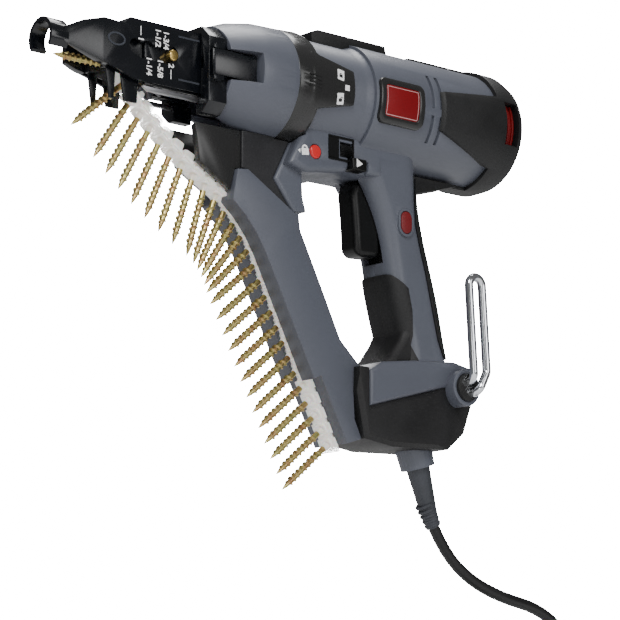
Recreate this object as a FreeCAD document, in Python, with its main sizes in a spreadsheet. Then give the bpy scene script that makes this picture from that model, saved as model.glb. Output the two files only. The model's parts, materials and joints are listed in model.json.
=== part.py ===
"""Corded auto-feed drywall screwdriver, modelled as a parametric FreeCAD document.

The frame has +Z up, the drive axis along X with the nose at -X, and the tool's left side at -Y.
The origin is the middle of the hand grip. All sizes are in millimetres.
"""
import FreeCAD, Part
import math
import os
import re
import Sketcher

SIZES = {
    # shared allowances for cuts and fits
    "overrun": 1.0,
    "cut_reach": 600.0,
    "drive_gap": 0.3,
    # drive axis and barrel
    "axis_height": 113.0,
    "dome_front": -152.0,
    "dome_rear": -108.0,
    "dome_front_radius": 27.6,
    "dome_shoulder_radius": 31.7,
    "dome_radius": 35.2,
    "dome_bore_radius": 24.6,
    "dome_seat": 4.0,
    "dome_shoulder": 11.0,
    "dome_run": 26.4,
    "dome_ease": 0.6,
    "notch_length": 19.0,
    "notch_height": 18.0,
    "notch_overlap": 3.0,
    "under_slot_length": 20.0,
    "under_slot_overlap": 6.0,
    "under_slot_gap": 3.0,
    "case_front": -91.0,
    "case_rear": -49.0,
    "case_radius": 33.0,
    "case_bore_radius": 28.0,
    "cone_length": 6.0,
    "cone_rise": 2.0,
    "sleeve_radius": 28.9,
    "bearing_wall_front": -86.0,
    "bearing_wall": 6.0,
    "collar_clearance": 0.3,
    "collar_radius": 35.2,
    "collar_bead": 4.0,
    "collar_bead_rise": 0.8,
    "collar_room": 1.2,
    "tongue_length": 26.0,
    "tongue_angle": 56.0,
    "tongue_rise": 1.6,
    "tongue_root": 6.0,
    "tongue_base": 16.0,
    "tongue_tip": 10.0,
    "barrel_rear": 53.0,
    "barrel_radius": 36.5,
    "barrel_wall": 4.0,
    "cap_length": 26.0,
    "pad_rise": 2.3,
    "cap_radius": "=barrel_radius + pad_rise",
    "cap_taper": 9.8,
    "cap_end_radius": "=cap_radius - cap_taper",
    "cap_wall": 3.2,
    "cap_straight": 13.0,
    "cap_round": 21.3,
    "cap_round_drop": 3.0,
    "cap_depth": 18.2,
    "cap_inner_step": 2.0,
    "bearing_cup": 3.0,
    "pad_front": 4.0,
    "pad_lap": 2.0,
    "pad_angle": 94.0,
    "top_pad_angle": 16.0,
    "pad_top_front": 9.9,
    "pad_top_rear": 16.3,
    "pad_low_front": 13.4,
    "pad_low_rear": 28.2,
    "pad_trim": 31.0,
    "groove_front": -4.0,
    "groove_pitch": 7.0,
    "groove_width": 2.4,
    "groove_depth": 1.8,
    "vent_front": 58.0,
    "vent_length": 12.0,
    "vent_height": 27.0,
    "baffle_wall": 3.0,
    "baffle_rib": 1.4,
    "baffle_rib_rise": 1.6,
    "baffle_rib_root": 2.0,
    "badge_front": -47.0,
    "badge_length": 36.0,
    "badge_angle": 42.0,
    "badge_rim": 4.2,
    "badge_tilt": -5.0,
    "badge_depth": 1.8,
    "badge_seat": 0.6,
    "badge_sink": 0.3,
    "badge_rim_angle": 12.0,
    "rail_front": -79.0,
    "rail_rear": -18.0,
    "rail_width": 24.0,
    "rail_top": 39.4,
    "rail_seat": 4.0,
    "rail_nose": 5.0,
    "rail_tail": 2.0,
    # guide clamp and latch
    "clamp_length": 13.0,
    "clamp_half_width": 22.0,
    "clamp_top": 22.5,
    "clamp_bottom": -28.5,
    "clamp_slot": 21.0,
    "clamp_low_cut": 6.0,
    "clamp_top_cut": 7.0,
    "clamp_floor_gap": 1.6,
    "guide_front": -205.0,
    "guide_drop": 19.3,
    "guide_height": 2.8,
    "guide_half_gauge": 10.8,
    "guide_thickness": 2.2,
    "guide_ramp": 4.0,
    "latch_thickness": 3.4,
    "latch_height": 15.0,
    "latch_reach": 18.0,
    "latch_pivot": 4.5,
    "latch_pin": 1.2,
    "latch_ear": 3.0,
    "latch_inset": 1.0,
    "latch_nose": 2.0,
    "latch_relief": 1.5,
    "latch_lip": 1.2,
    "latch_lip_length": 5.0,
    # nose slide and screw length plate
    "slide_gap": 0.35,
    "slide_rear": -160.0,
    "slide_front": -229.0,
    "slide_step": -203.0,
    "slide_half_width": 12.0,
    "slide_front_half_width": 9.0,
    "slide_top": 11.6,
    "slide_bottom": -18.2,
    "slide_bore": 10.4,
    "slide_roof": 5.6,
    "slide_chin": 6.0,
    "slide_chin_rear": 2.0,
    "slide_brow": 4.0,
    "slide_brow_drop": 5.0,
    "flap_front": 1.0,
    "flap_length": 7.0,
    "flap_gap": 3.0,
    "rear_flap_length": 13.0,
    "flap_lean": 3.0,
    "flap_taper": 1.0,
    "flap_root": 8.0,
    "flap_drop": 11.0,
    "strip_mouth": 10.0,
    "strip_gap": 0.8,
    "strip_slot": 2.2,
    "strip_head_room": 1.0,
    "plate_thickness": 1.9,
    "plate_rear": -164.0,
    "plate_top": 18.0,
    "plate_bottom": -17.2,
    "plate_root_top": 5.0,
    "plate_root_bottom": 3.5,
    "plate_gap": 0.6,
    "plate_roof": 60.0,
    "plate_shoulder": 33.0,
    "ring_front": -266.0,
    "ring_length": 11.5,
    "ring_radius": 11.1,
    "ring_wall": 2.2,
    "ring_opening": 104.0,
    "ring_lap": 3.0,
    "ring_seat": 0.2,
    "length_travel": 25.4,
    "button_x": -185.5,
    "button_lift": 1.0,
    "button_radius": 3.2,
    "button_rise": 2.2,
    "slot_pitch": 4.23,
    "slot_steps": 7.0,
    "slot_low": 0.2,
    "slot_high": 1.8,
    "slot_gap": 1.4,
    "button_root": 5.0,
    # feed
    "sprocket_x": -195.0,
    "sprocket_drop": 13.0,
    "sprocket_radius": 11.4,
    "sprocket_root": 8.2,
    "sprocket_teeth": 8.0,
    "sprocket_width": 2.2,
    "sprocket_gauge": 11.8,
    "sprocket_gap": 0.6,
    "pin_radius": 2.0,
    "running_gap": 0.05,
    "spring_gap": 1.2,
    "spring_wire": 0.75,
    "spring_radius": 9.2,
    "spring_turns": 8.0,
    # screws and strip
    "screw_length": 50.8,
    "screw_head_radius": 4.1,
    "screw_head_depth": 4.2,
    "screw_radius": 2.1,
    "screw_point": 8.0,
    "screw_head_rim": 0.5,
    "screw_tip_radius": 0.25,
    "span_screw_count": 8.0,
    "screw_pitch": 9.6,
    "screw_head_rise": 4.4,
    "screw_tilt": 12.0,
    "first_screw_drop": 7.7,
    "strip_x": -211.5,
    "strip_thickness": 1.6,
    "strip_half_width": 7.0,
    "strip_lead": 4.0,
    "strip_nose_radius": 19.0,
    "strip_nose_turn": 42.8,
    "strip_span_radius": 217.0,
    "strip_span_turn": 19.5,
    "strip_arm_radius": 86.0,
    "strip_arm_turn": 34.3,
    "screw_count": 28.0,
    "missing_screw": 1.0,
    "notch_depth": 1.6,
    "notch_half_length": 1.5,
    # motor and gears
    "gear_module": 0.9,
    "pinion_teeth": 9.0,
    "idler_teeth": 24.0,
    "idler_pinion_teeth": 10.0,
    "spindle_teeth": 23.0,
    "gear_width": 8.0,
    "gear_slack": 0.16,
    "gear_pressure_angle": 20.0,
    "shaft_radius": 4.0,
    "layshaft_radius": 2.5,
    "layshaft_joiner": 3.2,
    "core_radius": 19.5,
    "core_front": -28.0,
    "core_length": 46.0,
    "core_slots": 12.0,
    "stator_gap": 0.5,
    "stator_radius": "=barrel_radius - barrel_wall - stator_gap",
    "stator_bore": 20.2,
    "stator_lead": 1.0,
    "stator_flare": 3.0,
    "fan_gap": 3.5,
    "fan_radius": "=barrel_radius - barrel_wall - fan_gap",
    "fan_front_gap": 6.0,
    "fan_rear_gap": 4.0,
    "fan_hub_radius": 10.0,
    "fan_disc": 1.6,
    "fan_blade_half": 0.7,
    "fan_blade_root": 9.0,
    "fan_blade_inset": 0.6,
    "fan_blades": 11.0,
    "commutator_radius": 11.0,
    "commutator_front": 24.0,
    "commutator_length": 15.0,
    "commutator_rim": 1.4,
    "commutator_rim_width": 2.5,
    "brush_inset": 4.0,
    "brush_length": 8.0,
    "brush_half_height": 4.0,
    "idler_front": -66.0,
    "spindle_gear_front": -77.0,
    "bearing_plate_front": -55.0,
    "bearing_plate_depth": 5.0,
    "bearing_radius": 9.0,
    "bearing_rim": 4.0,
    "edge_break": 0.5,
    "case_screw_radius": 1.6,
    "case_screw_head": 3.2,
    "case_screw_head_depth": 2.4,
    "case_screw_sink": 3.0,
    "case_screw_end": 7.0,
    "bearing_length": 7.0,
    "spindle_front": -106.0,
    "spindle_radius": 7.0,
    "spindle_tail_radius": 4.5,
    "spindle_tail": 1.0,
    "bit_socket": 22.0,
    "bit_end_gap": 0.2,
    "bit_radius": 3.17,
    "bit_tip": -214.5,
    "bit_neck": 8.0,
    "bit_taper": 5.0,
    "bit_neck_step": 0.7,
    "bit_point": 1.0,
    "bit_point_radius": 1.1,
    "bit_tip_radius": 0.8,
    # handle, trigger and controls
    "outline_size": 100.0,
    "handle_half_depth": 19.0,
    "handle_half_width": 16.5,
    "handle_drop": 33.0,
    "handle_top": "=axis_height - handle_drop",
    "handle_bottom": -46.0,
    "handle_floor": 38.0,
    "pillar_radius": 4.0,
    "strut_inset": 0.5,
    "bore_step": 2.0,
    "grip_rise": 1.2,
    "neck_half_width": 21.0,
    "trigger_front": -43.0,
    "trigger_depth": 23.0,
    "trigger_width": 16.0,
    "trigger_travel": 7.0,
    "trigger_room": 5.0,
    "trigger_slot_gap": 3.0,
    "trigger_foot_gap": 2.0,
    "switch_gap": 1.0,
    "switch_half_width": 9.6,
    "switch_drop": 9.0,
    "control_gap": 0.4,
    "lock_x": -9.0,
    "lock_z": 43.0,
    "lock_length": 13.5,
    "lock_width": 8.5,
    "lock_rim": 2.0,
    "lock_depth": 4.5,
    "lock_rise": 1.4,
    "lock_pocket": 8.0,
    "switch_depth": 11.0,
    "lens_x": -84.0,
    "lens_drop": 39.0,
    "lens_radius": 4.2,
    "lens_rise": 0.8,
    "lens_depth": 3.6,
    "lens_pocket": 6.0,
    "wheel_x": -60.0,
    "wheel_drop": 34.2,
    "wheel_radius": 4.2,
    "wheel_width": 9.0,
    "wheel_offset": 18.0,
    "wheel_pin": 1.2,
    "wheel_pin_reach": 3.0,
    "wheel_knurls": 24.0,
    "wheel_knurl_depth": 0.7,
    "selector_x": -53.0,
    "selector_drop": 42.6,
    "selector_length": 11.0,
    "selector_height": 7.0,
    "selector_travel": 5.0,
    "selector_rise": 4.5,
    "selector_depth": 3.6,
    "selector_pocket": 4.0,
    # base, hook and cord exit
    "base_half_width": 19.2,
    "boot_half_width": 20.0,
    "boot_taper_front": 14.0,
    "boot_taper_rear": 56.0,
    "boot_tail_half_width": 9.0,
    "boot_chamfer": 2.5,
    "boot_chamfer_rear": 10.0,
    "boot_chamfer_top": -60.0,
    "boss_x": 34.0,
    "boss_z": -54.0,
    "boss_radius": 11.2,
    "boss_bore": 8.4,
    "boss_end": -25.0,
    "boss_depth": 17.0,
    "boss_far_step": 7.0,
    "socket_rise": 1.6,
    "socket_key": 1.0,
    "socket_key_depth": 2.0,
    "socket_key_root": 3.0,
    "hook_wire": 5.4,
    "hook_height": 67.0,
    "hook_spread": 11.0,
    "hook_lean": 3.5,
    "hook_plane": -31.5,
    "hook_seat": 4.0,
    "hook_offset": 3.4,
    "hook_bend": 5.0,
    "hook_return": 9.0,
    "cord_x": 13.0,
    "cord_z": -92.0,
    "cord_tilt": 18.0,
    "cord_collar_radius": 11.8,
    "cord_collar_length": 10.5,
    "cord_collar_taper": 1.4,
    "cord_collar_root": 8.0,
    "relief_length": 37.0,
    "relief_straight": 26.0,
    "relief_bend": 48.0,
    "relief_radius": 7.2,
    "relief_end_radius": 4.6,
    "relief_levels": 6.0,
    "cord_diameter": 7.2,
    "cord_run_in": 18.0,
    "coil_run_in": 27.0,
    # put-away coil and plug
    "coil_top": -271.5,
    "coil_x": 92.0,
    "coil_outer": 44.2,
    "coil_step": 7.9,
    "coil_turns": 2.0,
    "coil_layers": 4.0,
    "tie_thickness": 1.2,
    "tie_width": 9.0,
    "tie_gap": 0.3,
    "tie_room": 1.0,
    "plug_lead": 55.0,
    "plug_length": 34.0,
    "plug_half_height": 10.0,
    "plug_half_width": 13.5,
    "plug_round": 4.0,
    "plug_neck": 15.0,
    "plug_neck_half_width": 7.0,
    "blade_length": 16.0,
    "blade_spacing": 12.7,
    "blade_half_thickness": 0.75,
    "blade_half_height": 3.2,
    "wide_blade_half_height": 4.0,
    "arm_half_width": 14.5,
    "arm_round": 2.5,
    "arm_lip": 4.0,
    "arm_set_back": 1.6,
    "arm_start": 10.4,
    "arm_step": 22.7,
    "arm_end": 27.2,
    "arm_lead_in": 12.0,
    "arm_lead_out": 20.0,
    "head_room": 10.0,
    "shank_room": 14.0,
    "screw_room": 1.1,
    "tape_room": 0.6,
    "panel_inset": 1.5,
    "panel_round": 1.0,
    "dome_gap": 0.3,
    "guide_block_front": -167.0,
    "guide_block_rear": -133.3,
    "guide_block_wall": -140.0,
    "guide_block_half_width": 12.0,
    "guide_block_gap": 2.5,
    "guide_lip": 4.1,
    "guide_lip_rise": 0.7,
    "guide_run_start": 74.0,
    "guide_run_end": 100.0,
    "guide_heel": 57.6,
    "neck_round": 4.0,
    "base_round": 2.0,
    "flare_round": 5.0,
    "trigger_round": 4.0,
    "handle_corner_share": 0.6,
}

# shares of a piece's own length, height, pitch or radius
PLATE_TOP_SHARES = ((0.196, 0.594), (0.3235, 0.794), (0.461, 0.767), (0.5, 1.0), (1.0, 1.0))
PLATE_LOW_SHARES = ((1.0, 1.0), (0.539, 1.0), (0.392, 0.738), (0.304, 0.634))
BAFFLE_SHARES = (0.15, 0.45, 0.75)
TOOTH_SHARES = (-0.3, -0.08, 0.08, 0.3)
ROOT_SHARE, TIP_SHARE = 1.25, 0.9
FLAT_SHARES = (0.87, 1.5)
WINDING_SLOT_SHARES = (0.11, 0.55, 1.2)
KNURL_SHARES = (-0.22, 0.22, 0.5)
FLARE_WIDTH_SHARE = 0.9
SURFACE_SHARE = 1.06
RUN_SHARE = 0.45

# side outlines as shares of the outline size
NECK_SHARES = ((-0.30, 0.90), (-0.905, 0.90), (-1.03, 0.65), (-0.90, 0.61), (-0.62, 0.65), (-0.56, 0.67),
               (-0.30, 0.67))
STRUT_SHARES = ((-0.95, 0.83), (-1.09, 0.555), (-0.94, 0.37), (-0.84, 0.39), (-0.865, 0.47), (-0.875, 0.60),
                (-0.83, 0.75))
BASE_SHARES = ((-0.29, -0.44), (-0.39, -0.50), (-0.39, -0.714), (0.50, -0.468), (0.46, -0.41), (0.30, -0.38),
               (0.0, -0.40))
FLARE_SHARES = ((-0.02, -0.12), (-0.10, -0.28), (-0.18, -0.385), (-0.30, -0.495), (0.0, -0.495), (0.10, -0.30))
HANDLE_SHARES = (
    # height, centre, depth and width of each level of the handle
    (1.08, -1.263, 1.289, 1.273),
    (1.0, -1.197, 1.276, 1.273),
    (0.722, -0.526, 0.895, 1.061),
    (0.365, 0.132, 0.947, 1.0),
    (0.143, 0.5, 0.895, 1.03),
    (0.0, 0.605, 1.053, 1.152),
)
GRIP_SHARES = ((-0.70, 0.13), (-0.25, 0.13), (-0.17, 0.105), (-0.07, 0.03), (-0.04, -0.10), (-0.03, -0.25),
               (-0.04, -0.31),
               (0.0, -0.40), (0.0, -0.455), (-0.70, -0.455))
STRIP_SHARES = ((0.0, 0.72), (-0.02, 0.60), (-0.01, 0.43), (0.08, 0.14), (0.175, -0.26), (0.22, -0.36),
                (0.70, -0.36),
                (0.70, 0.72))
TRIGGER_SHARES = ((-0.41, 0.66), (-0.43, 0.58), (-0.415, 0.45), (-0.405, 0.32), (-0.40, 0.235), (-0.36, 0.205),
                  (-0.20, 0.215), (-0.20, 0.66))
GUSSET_SHARES = ((0.0, 0.64), (0.08, 0.65), (0.41, 0.745), (0.41, 0.90), (0.0, 0.90))
AXIS_SHARE = 1.13
BOOT_SHARES = ((-0.485, -0.49), (-0.39, -0.49), (-0.39, -0.714), (0.50, -0.468), (0.54, -0.58), (0.43, -0.80),
               (0.25, -0.92), (-0.21, -0.94), (-0.43, -0.91), (-0.49, -0.63))
ARM_SHARES = ((-0.425, -0.91), (-0.48, -0.80), (-0.49, -0.62), (-0.425, -0.49), (-0.59, -0.34), (-0.73, -0.06),
              (-0.90, 0.27), (-0.914, 0.367), (-0.945, 0.368), (-1.295, 0.573), (-1.37, 0.565))
PANEL_SHARES = ((-1.33, 0.82), (-0.958, 0.82), (-1.096, 0.555), (-0.95, 0.374), (-1.295, 0.576), (-1.33, 0.58))
GROOVE_SHARES = ((-0.60, -0.16), (-0.04, 0.55))
BODY_SCREW_SHARES = ((-0.06, 0.72), (0.02, 0.12), (0.07, -0.20), (-0.88, 0.70), (-0.25, -0.55))
ARM_SCREW_SHARES = ((-0.90, 0.14), (-0.75, -0.24), (-0.57, -0.62))

# points of the cord's free run, from the bend relief to the coil
CORD_ROUTE = (
    (59.0, 0.0, -167.3),
    (86.0, 0.0, -176.6),
    (118.0, 0.0, -181.6),
    (144.0, 2.5, -195.0),
    (160.0, 12.0, -217.0),
    (160.5, 25.5, -242.0),
    (145.0, 37.5, -262.0),
)

doc = FreeCAD.newDocument("screwdriver")
sheet = doc.addObject("Spreadsheet::Sheet", "sizes")
for row, (name, number) in enumerate(SIZES.items(), 1):
    sheet.set(f"A{row}", name)
    sheet.set(f"B{row}", str(number))
    sheet.setAlias(f"B{row}", name)
doc.recompute()

parts = []
vec = FreeCAD.Vector
X_AXIS, Y_AXIS, Z_AXIS = vec(1, 0, 0), vec(0, 1, 0), vec(0, 0, 1)


def bind(text):
    """Turns size names in an expression into references to the sheet."""
    return re.sub(r"[A-Za-z_]\w*", lambda m: "sizes." + m.group(0) if m.group(0) in SIZES else m.group(0), text)


def value(text):
    """Works an expression of size names out to a number."""
    return float(sheet.evalExpression(bind(str(text))))


def new_body(label, x="0", y="0", z="0"):
    """Starts a body whose place is bound to the sheet."""
    body = doc.addObject("PartDesign::Body", label)
    body.Label = label
    for axis, text in zip("xyz", (x, y, z)):
        body.setExpression(f"Placement.Base.{axis}", bind(text))
    parts.append(body)
    return body


def new_sketch(body, role):
    """Attaches an empty sketch to one of the body's own planes."""
    sketch = body.newObject("Sketcher::SketchObject", "outline")
    sketch.AttachmentSupport = [(next(f for f in body.Origin.OriginFeatures if f.Role == role), "")]
    sketch.MapMode = "FlatFace"
    return sketch


def polygon(body, points, role="XZ_Plane"):
    """A closed outline whose corners are bound to expressions."""
    sketch = new_sketch(body, role)
    corners = [vec(value(a), value(b), 0) for a, b in points]
    count = len(corners)
    for i in range(count):
        sketch.addGeometry(Part.LineSegment(corners[i], corners[(i + 1) % count]), False)
    for i in range(count):
        sketch.addConstraint(Sketcher.Constraint("Coincident", i, 2, (i + 1) % count, 1))
    for i, pair in enumerate(points):
        for kind, text, number in zip(("DistanceX", "DistanceY"), pair, corners[i]):
            index = sketch.addConstraint(Sketcher.Constraint(kind, -1, 1, i, 1, number))
            sketch.setExpression(f"Constraints[{index}]", bind(text))
    return sketch


def circle(body, x, y, radius, role="XZ_Plane"):
    """A circle whose centre and radius are bound to expressions."""
    sketch = new_sketch(body, role)
    sketch.addGeometry(Part.Circle(vec(value(x), value(y), 0), Z_AXIS, value(radius)), False)
    for kind, text in (("DistanceX", x), ("DistanceY", y)):
        index = sketch.addConstraint(Sketcher.Constraint(kind, -1, 1, 0, 3, value(text)))
        sketch.setExpression(f"Constraints[{index}]", bind(text))
    index = sketch.addConstraint(Sketcher.Constraint("Radius", 0, value(radius)))
    sketch.setExpression(f"Constraints[{index}]", bind(radius))
    return sketch


def extrude(body, sketch, length, kind="Pad"):
    """Pads or pockets a sketch to both sides of its plane."""
    feature = body.newObject(f"PartDesign::{kind}", kind.lower())
    feature.Profile = sketch
    feature.SideType = "Symmetric"
    feature.setExpression("Length", bind(length))
    doc.recompute()
    return feature


def turn(body, sketch, angle="360", kind="Revolution", axis="H_Axis"):
    """Revolves or grooves a sketch about its own axis, evenly to both sides."""
    feature = body.newObject(f"PartDesign::{kind}", kind.lower())
    feature.Profile = sketch
    feature.ReferenceAxis = (sketch, [axis])
    feature.Midplane = True
    feature.setExpression("Angle", bind(angle))
    doc.recompute()
    return feature


def add_shape(label, shape):
    """Keeps a shape that profiles and primitives can't make as a document object."""
    feature = doc.addObject("Part::Feature", label)
    feature.Label = label
    feature.Shape = shape
    parts.append(feature)
    return feature


def prism(points, half_width, middle=0.0):
    """A side outline in X and Z, as wide to both sides of the plane y = middle."""
    corners = [vec(x, middle - half_width, z) for x, z in points]
    face = Part.Face(Part.makePolygon(corners + corners[:1]))
    return face.extrude(vec(0, 2 * half_width, 0))


def block(x, y, z):
    """A box between two bounds along each axis."""
    return Part.makeBox(x[1] - x[0], y[1] - y[0], z[1] - z[0], vec(x[0], y[0], z[0]))


def rod(radius, start, end):
    """A round bar between two points."""
    return Part.makeCylinder(radius, (end - start).Length, start, end - start)


def fused(shapes):
    """One solid of several that touch."""
    return shapes[0].multiFuse(shapes[1:]).removeSplitter()


AXIS = value("axis_height")


def build_barrel():
    """The dome, locking collar, gear case, rear cap and trims on the drive axis."""
    dome = new_body("front_dome", z="axis_height")
    turn(dome, polygon(dome, [
        ("dome_front", "dome_bore_radius"),
        ("dome_front", "dome_front_radius"),
        ("dome_front + dome_shoulder", "dome_shoulder_radius"),
        ("dome_front + dome_run", "dome_radius - dome_ease"),
        ("dome_rear", "dome_radius"),
        ("dome_rear", "sleeve_radius"),
        ("dome_rear - dome_seat", "sleeve_radius"),
        ("dome_rear - dome_seat", "dome_bore_radius"),
    ]))
    notch = polygon(dome, [
        ("dome_front - overrun", "-dome_radius"),
        ("dome_front + notch_length", "-dome_radius"),
        ("dome_front + notch_length", "-dome_bore_radius + notch_overlap"),
        ("dome_front - overrun", "-dome_bore_radius + notch_overlap"),
    ], "XY_Plane")
    extrude(dome, notch, "notch_height", "Pocket")
    under = polygon(dome, [
        ("dome_front - overrun", "-dome_radius - overrun"),
        ("dome_front + under_slot_length", "-dome_radius - overrun"),
        ("dome_front + under_slot_length", "-dome_bore_radius + under_slot_overlap"),
        ("dome_front - overrun", "-dome_bore_radius + under_slot_overlap"),
    ])
    extrude(dome, under, "sprocket_gauge + sprocket_width + under_slot_gap", "Pocket")

    collar = new_body("lock_collar", z="axis_height")
    turn(collar, polygon(collar, [
        ("dome_rear + collar_clearance", "sleeve_radius + collar_clearance"),
        ("dome_rear + collar_clearance", "collar_radius - edge_break"),
        ("dome_rear + collar_clearance + 2 * edge_break", "collar_radius"),
        ("case_front - collar_clearance - collar_bead", "collar_radius + collar_bead_rise"),
        ("case_front - collar_clearance", "collar_radius"),
        ("case_front - collar_clearance", "sleeve_radius + collar_clearance"),
    ]))
    turn(collar, polygon(collar, [
        ("case_front - tongue_root", "-case_radius - collar_clearance"),
        ("case_front + tongue_length", "-case_radius - collar_clearance"),
        ("case_front + tongue_length", "-case_radius - collar_clearance - tongue_rise"),
        ("case_front - tongue_root", "-collar_radius - collar_bead_rise"),
    ], "XY_Plane"), "tongue_angle")
    for side in ("1", "-1"):
        extrude(collar, polygon(collar, [
            ("case_front", f"{side} * tongue_base"),
            ("case_front + tongue_length + overrun", f"{side} * tongue_tip"),
            ("case_front + tongue_length + overrun", f"{side} * collar_radius"),
            ("case_front", f"{side} * collar_radius"),
        ]), "4 * collar_radius", "Pocket")

    case = new_body("gear_case", z="axis_height")
    turn(case, polygon(case, [
        ("dome_rear - dome_seat", "dome_bore_radius"),
        ("dome_rear - dome_seat", "sleeve_radius"),
        ("case_front", "sleeve_radius"),
        ("case_front", "case_radius"),
        ("case_rear - cone_length", "case_radius"),
        ("case_rear", "case_radius + cone_rise"),
        ("case_rear", "case_bore_radius"),
        ("bearing_wall_front + bearing_wall", "case_bore_radius"),
        ("bearing_wall_front + bearing_wall", "spindle_radius + bearing_rim"),
        ("bearing_wall_front", "spindle_radius + bearing_rim"),
        ("bearing_wall_front", "dome_bore_radius"),
    ]))

    rail = new_body("top_rail", z="axis_height")
    extrude(rail, polygon(rail, [
        ("rail_front", "case_radius - rail_seat"),
        ("rail_front", "rail_top - rail_tail"),
        ("rail_front + rail_nose", "rail_top"),
        ("rail_rear - rail_tail", "rail_top"),
        ("rail_rear", "barrel_radius - rail_seat"),
        ("case_rear", "barrel_radius - rail_seat"),
        ("case_rear", "case_radius - rail_seat"),
    ]), "rail_width")
    turn(rail, polygon(rail, [
        ("rail_front - overrun", "0"),
        ("rail_rear + overrun", "0"),
        ("rail_rear + overrun", "barrel_radius"),
        ("case_rear", "barrel_radius"),
        ("case_rear", "case_radius + cone_rise"),
        ("case_rear - cone_length", "case_radius"),
        ("rail_front - overrun", "case_radius"),
    ]), "360", "Groove")

    cap = new_body("rear_cap", z="axis_height")
    turn(cap, polygon(cap, [
        ("barrel_rear", "barrel_radius - barrel_wall"),
        ("barrel_rear", "cap_radius"),
        ("barrel_rear + cap_straight", "cap_radius"),
        ("barrel_rear + cap_round", "cap_radius - cap_round_drop"),
        ("barrel_rear + cap_length", "cap_end_radius"),
        ("barrel_rear + cap_length", "0"),
        ("barrel_rear + cap_length - cap_wall", "0"),
        ("barrel_rear + cap_length - cap_wall", "bearing_radius"),
        ("barrel_rear + cap_length - cap_wall - bearing_length", "bearing_radius"),
        ("barrel_rear + cap_length - cap_wall - bearing_length", "bearing_radius + bearing_cup"),
        ("barrel_rear + cap_length - cap_wall", "bearing_radius + bearing_cup"),
        ("barrel_rear + cap_length - cap_wall", "cap_end_radius - cap_inner_step"),
        ("barrel_rear + cap_depth", "barrel_radius - barrel_wall"),
    ]))
    for plane, angle in (("XY_Plane", "pad_angle"), ("XZ_Plane", "top_pad_angle")):
        for side in ("-1", "1"):
            turn(cap, polygon(cap, [
                ("pad_front", f"{side} * barrel_radius"),
                ("barrel_rear + pad_lap", f"{side} * barrel_radius"),
                ("barrel_rear + pad_lap", f"{side} * cap_radius"),
                ("pad_front + pad_lap", f"{side} * cap_radius"),
            ], plane), angle)
    for edge, side in (("pad_top", "1"), ("pad_low", "-1")):
        extrude(cap, polygon(cap, [
            ("pad_front - overrun", f"{side} * {edge}_front"),
            ("barrel_rear", f"{side} * {edge}_rear"),
            ("barrel_rear", f"{side} * pad_trim"),
            ("pad_front - overrun", f"{side} * pad_trim"),
        ]), "4 * cap_radius", "Pocket")
    window = polygon(cap, [
        ("vent_front", "-vent_height / 2"),
        ("vent_front + vent_length", "-vent_height / 2"),
        ("vent_front + vent_length", "vent_height / 2"),
        ("vent_front", "vent_height / 2"),
    ])
    extrude(cap, window, "4 * cap_radius", "Pocket")

    baffle = new_body("vent_baffle", z="axis_height")
    turn(baffle, polygon(baffle, [
        ("barrel_rear + edge_break", "barrel_radius - barrel_wall - baffle_wall"),
        ("barrel_rear + edge_break", "barrel_radius - barrel_wall"),
        ("barrel_rear + cap_depth - edge_break", "barrel_radius - barrel_wall"),
        ("barrel_rear + cap_depth - edge_break", "barrel_radius - barrel_wall - baffle_wall"),
    ]))
    for share in BAFFLE_SHARES:
        start = f"vent_front + {share} * vent_length"
        turn(baffle, polygon(baffle, [
            (start, "barrel_radius - barrel_wall - baffle_rib_root"),
            (start, "barrel_radius - barrel_wall + baffle_rib_rise"),
            (f"{start} + baffle_rib", "barrel_radius - barrel_wall + baffle_rib_rise"),
            (f"{start} + baffle_rib", "barrel_radius - barrel_wall - baffle_rib_root"),
        ]))
    for side in ("1", "-1"):
        extrude(baffle, polygon(baffle, [
            ("barrel_rear", f"{side} * (vent_height / 2 - control_gap)"),
            ("barrel_rear + cap_length", f"{side} * (vent_height / 2 - control_gap)"),
            ("barrel_rear + cap_length", f"{side} * cap_radius"),
            ("barrel_rear", f"{side} * cap_radius"),
        ]), "4 * cap_radius", "Pocket")

    frame = new_body("badge_frame", z="axis_height")
    plate = new_body("badge_plate", z="axis_height")
    for body in (frame, plate):
        body.setExpression("Placement.Rotation.Angle", bind("-badge_tilt"))
        body.Placement.Rotation.Axis = X_AXIS
    turn(frame, polygon(frame, [
        ("badge_front", "-barrel_radius"),
        ("badge_front + badge_length", "-barrel_radius"),
        ("badge_front + badge_length", "-barrel_radius - badge_depth"),
        ("badge_front", "-barrel_radius - badge_depth"),
    ], "XY_Plane"), "badge_angle")
    turn(frame, polygon(frame, [
        ("badge_front + badge_rim", "-barrel_radius - badge_seat"),
        ("badge_front + badge_length - badge_rim", "-barrel_radius - badge_seat"),
        ("badge_front + badge_length - badge_rim", "-barrel_radius - badge_depth - overrun"),
        ("badge_front + badge_rim", "-barrel_radius - badge_depth - overrun"),
    ], "XY_Plane"), "badge_angle - badge_rim_angle", "Groove")
    turn(plate, polygon(plate, [
        ("badge_front + badge_rim", "-barrel_radius - badge_seat"),
        ("badge_front + badge_length - badge_rim", "-barrel_radius - badge_seat"),
        ("badge_front + badge_length - badge_rim", "-barrel_radius - badge_depth + badge_sink"),
        ("badge_front + badge_rim", "-barrel_radius - badge_depth + badge_sink"),
    ], "XY_Plane"), "badge_angle - badge_rim_angle")


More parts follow.
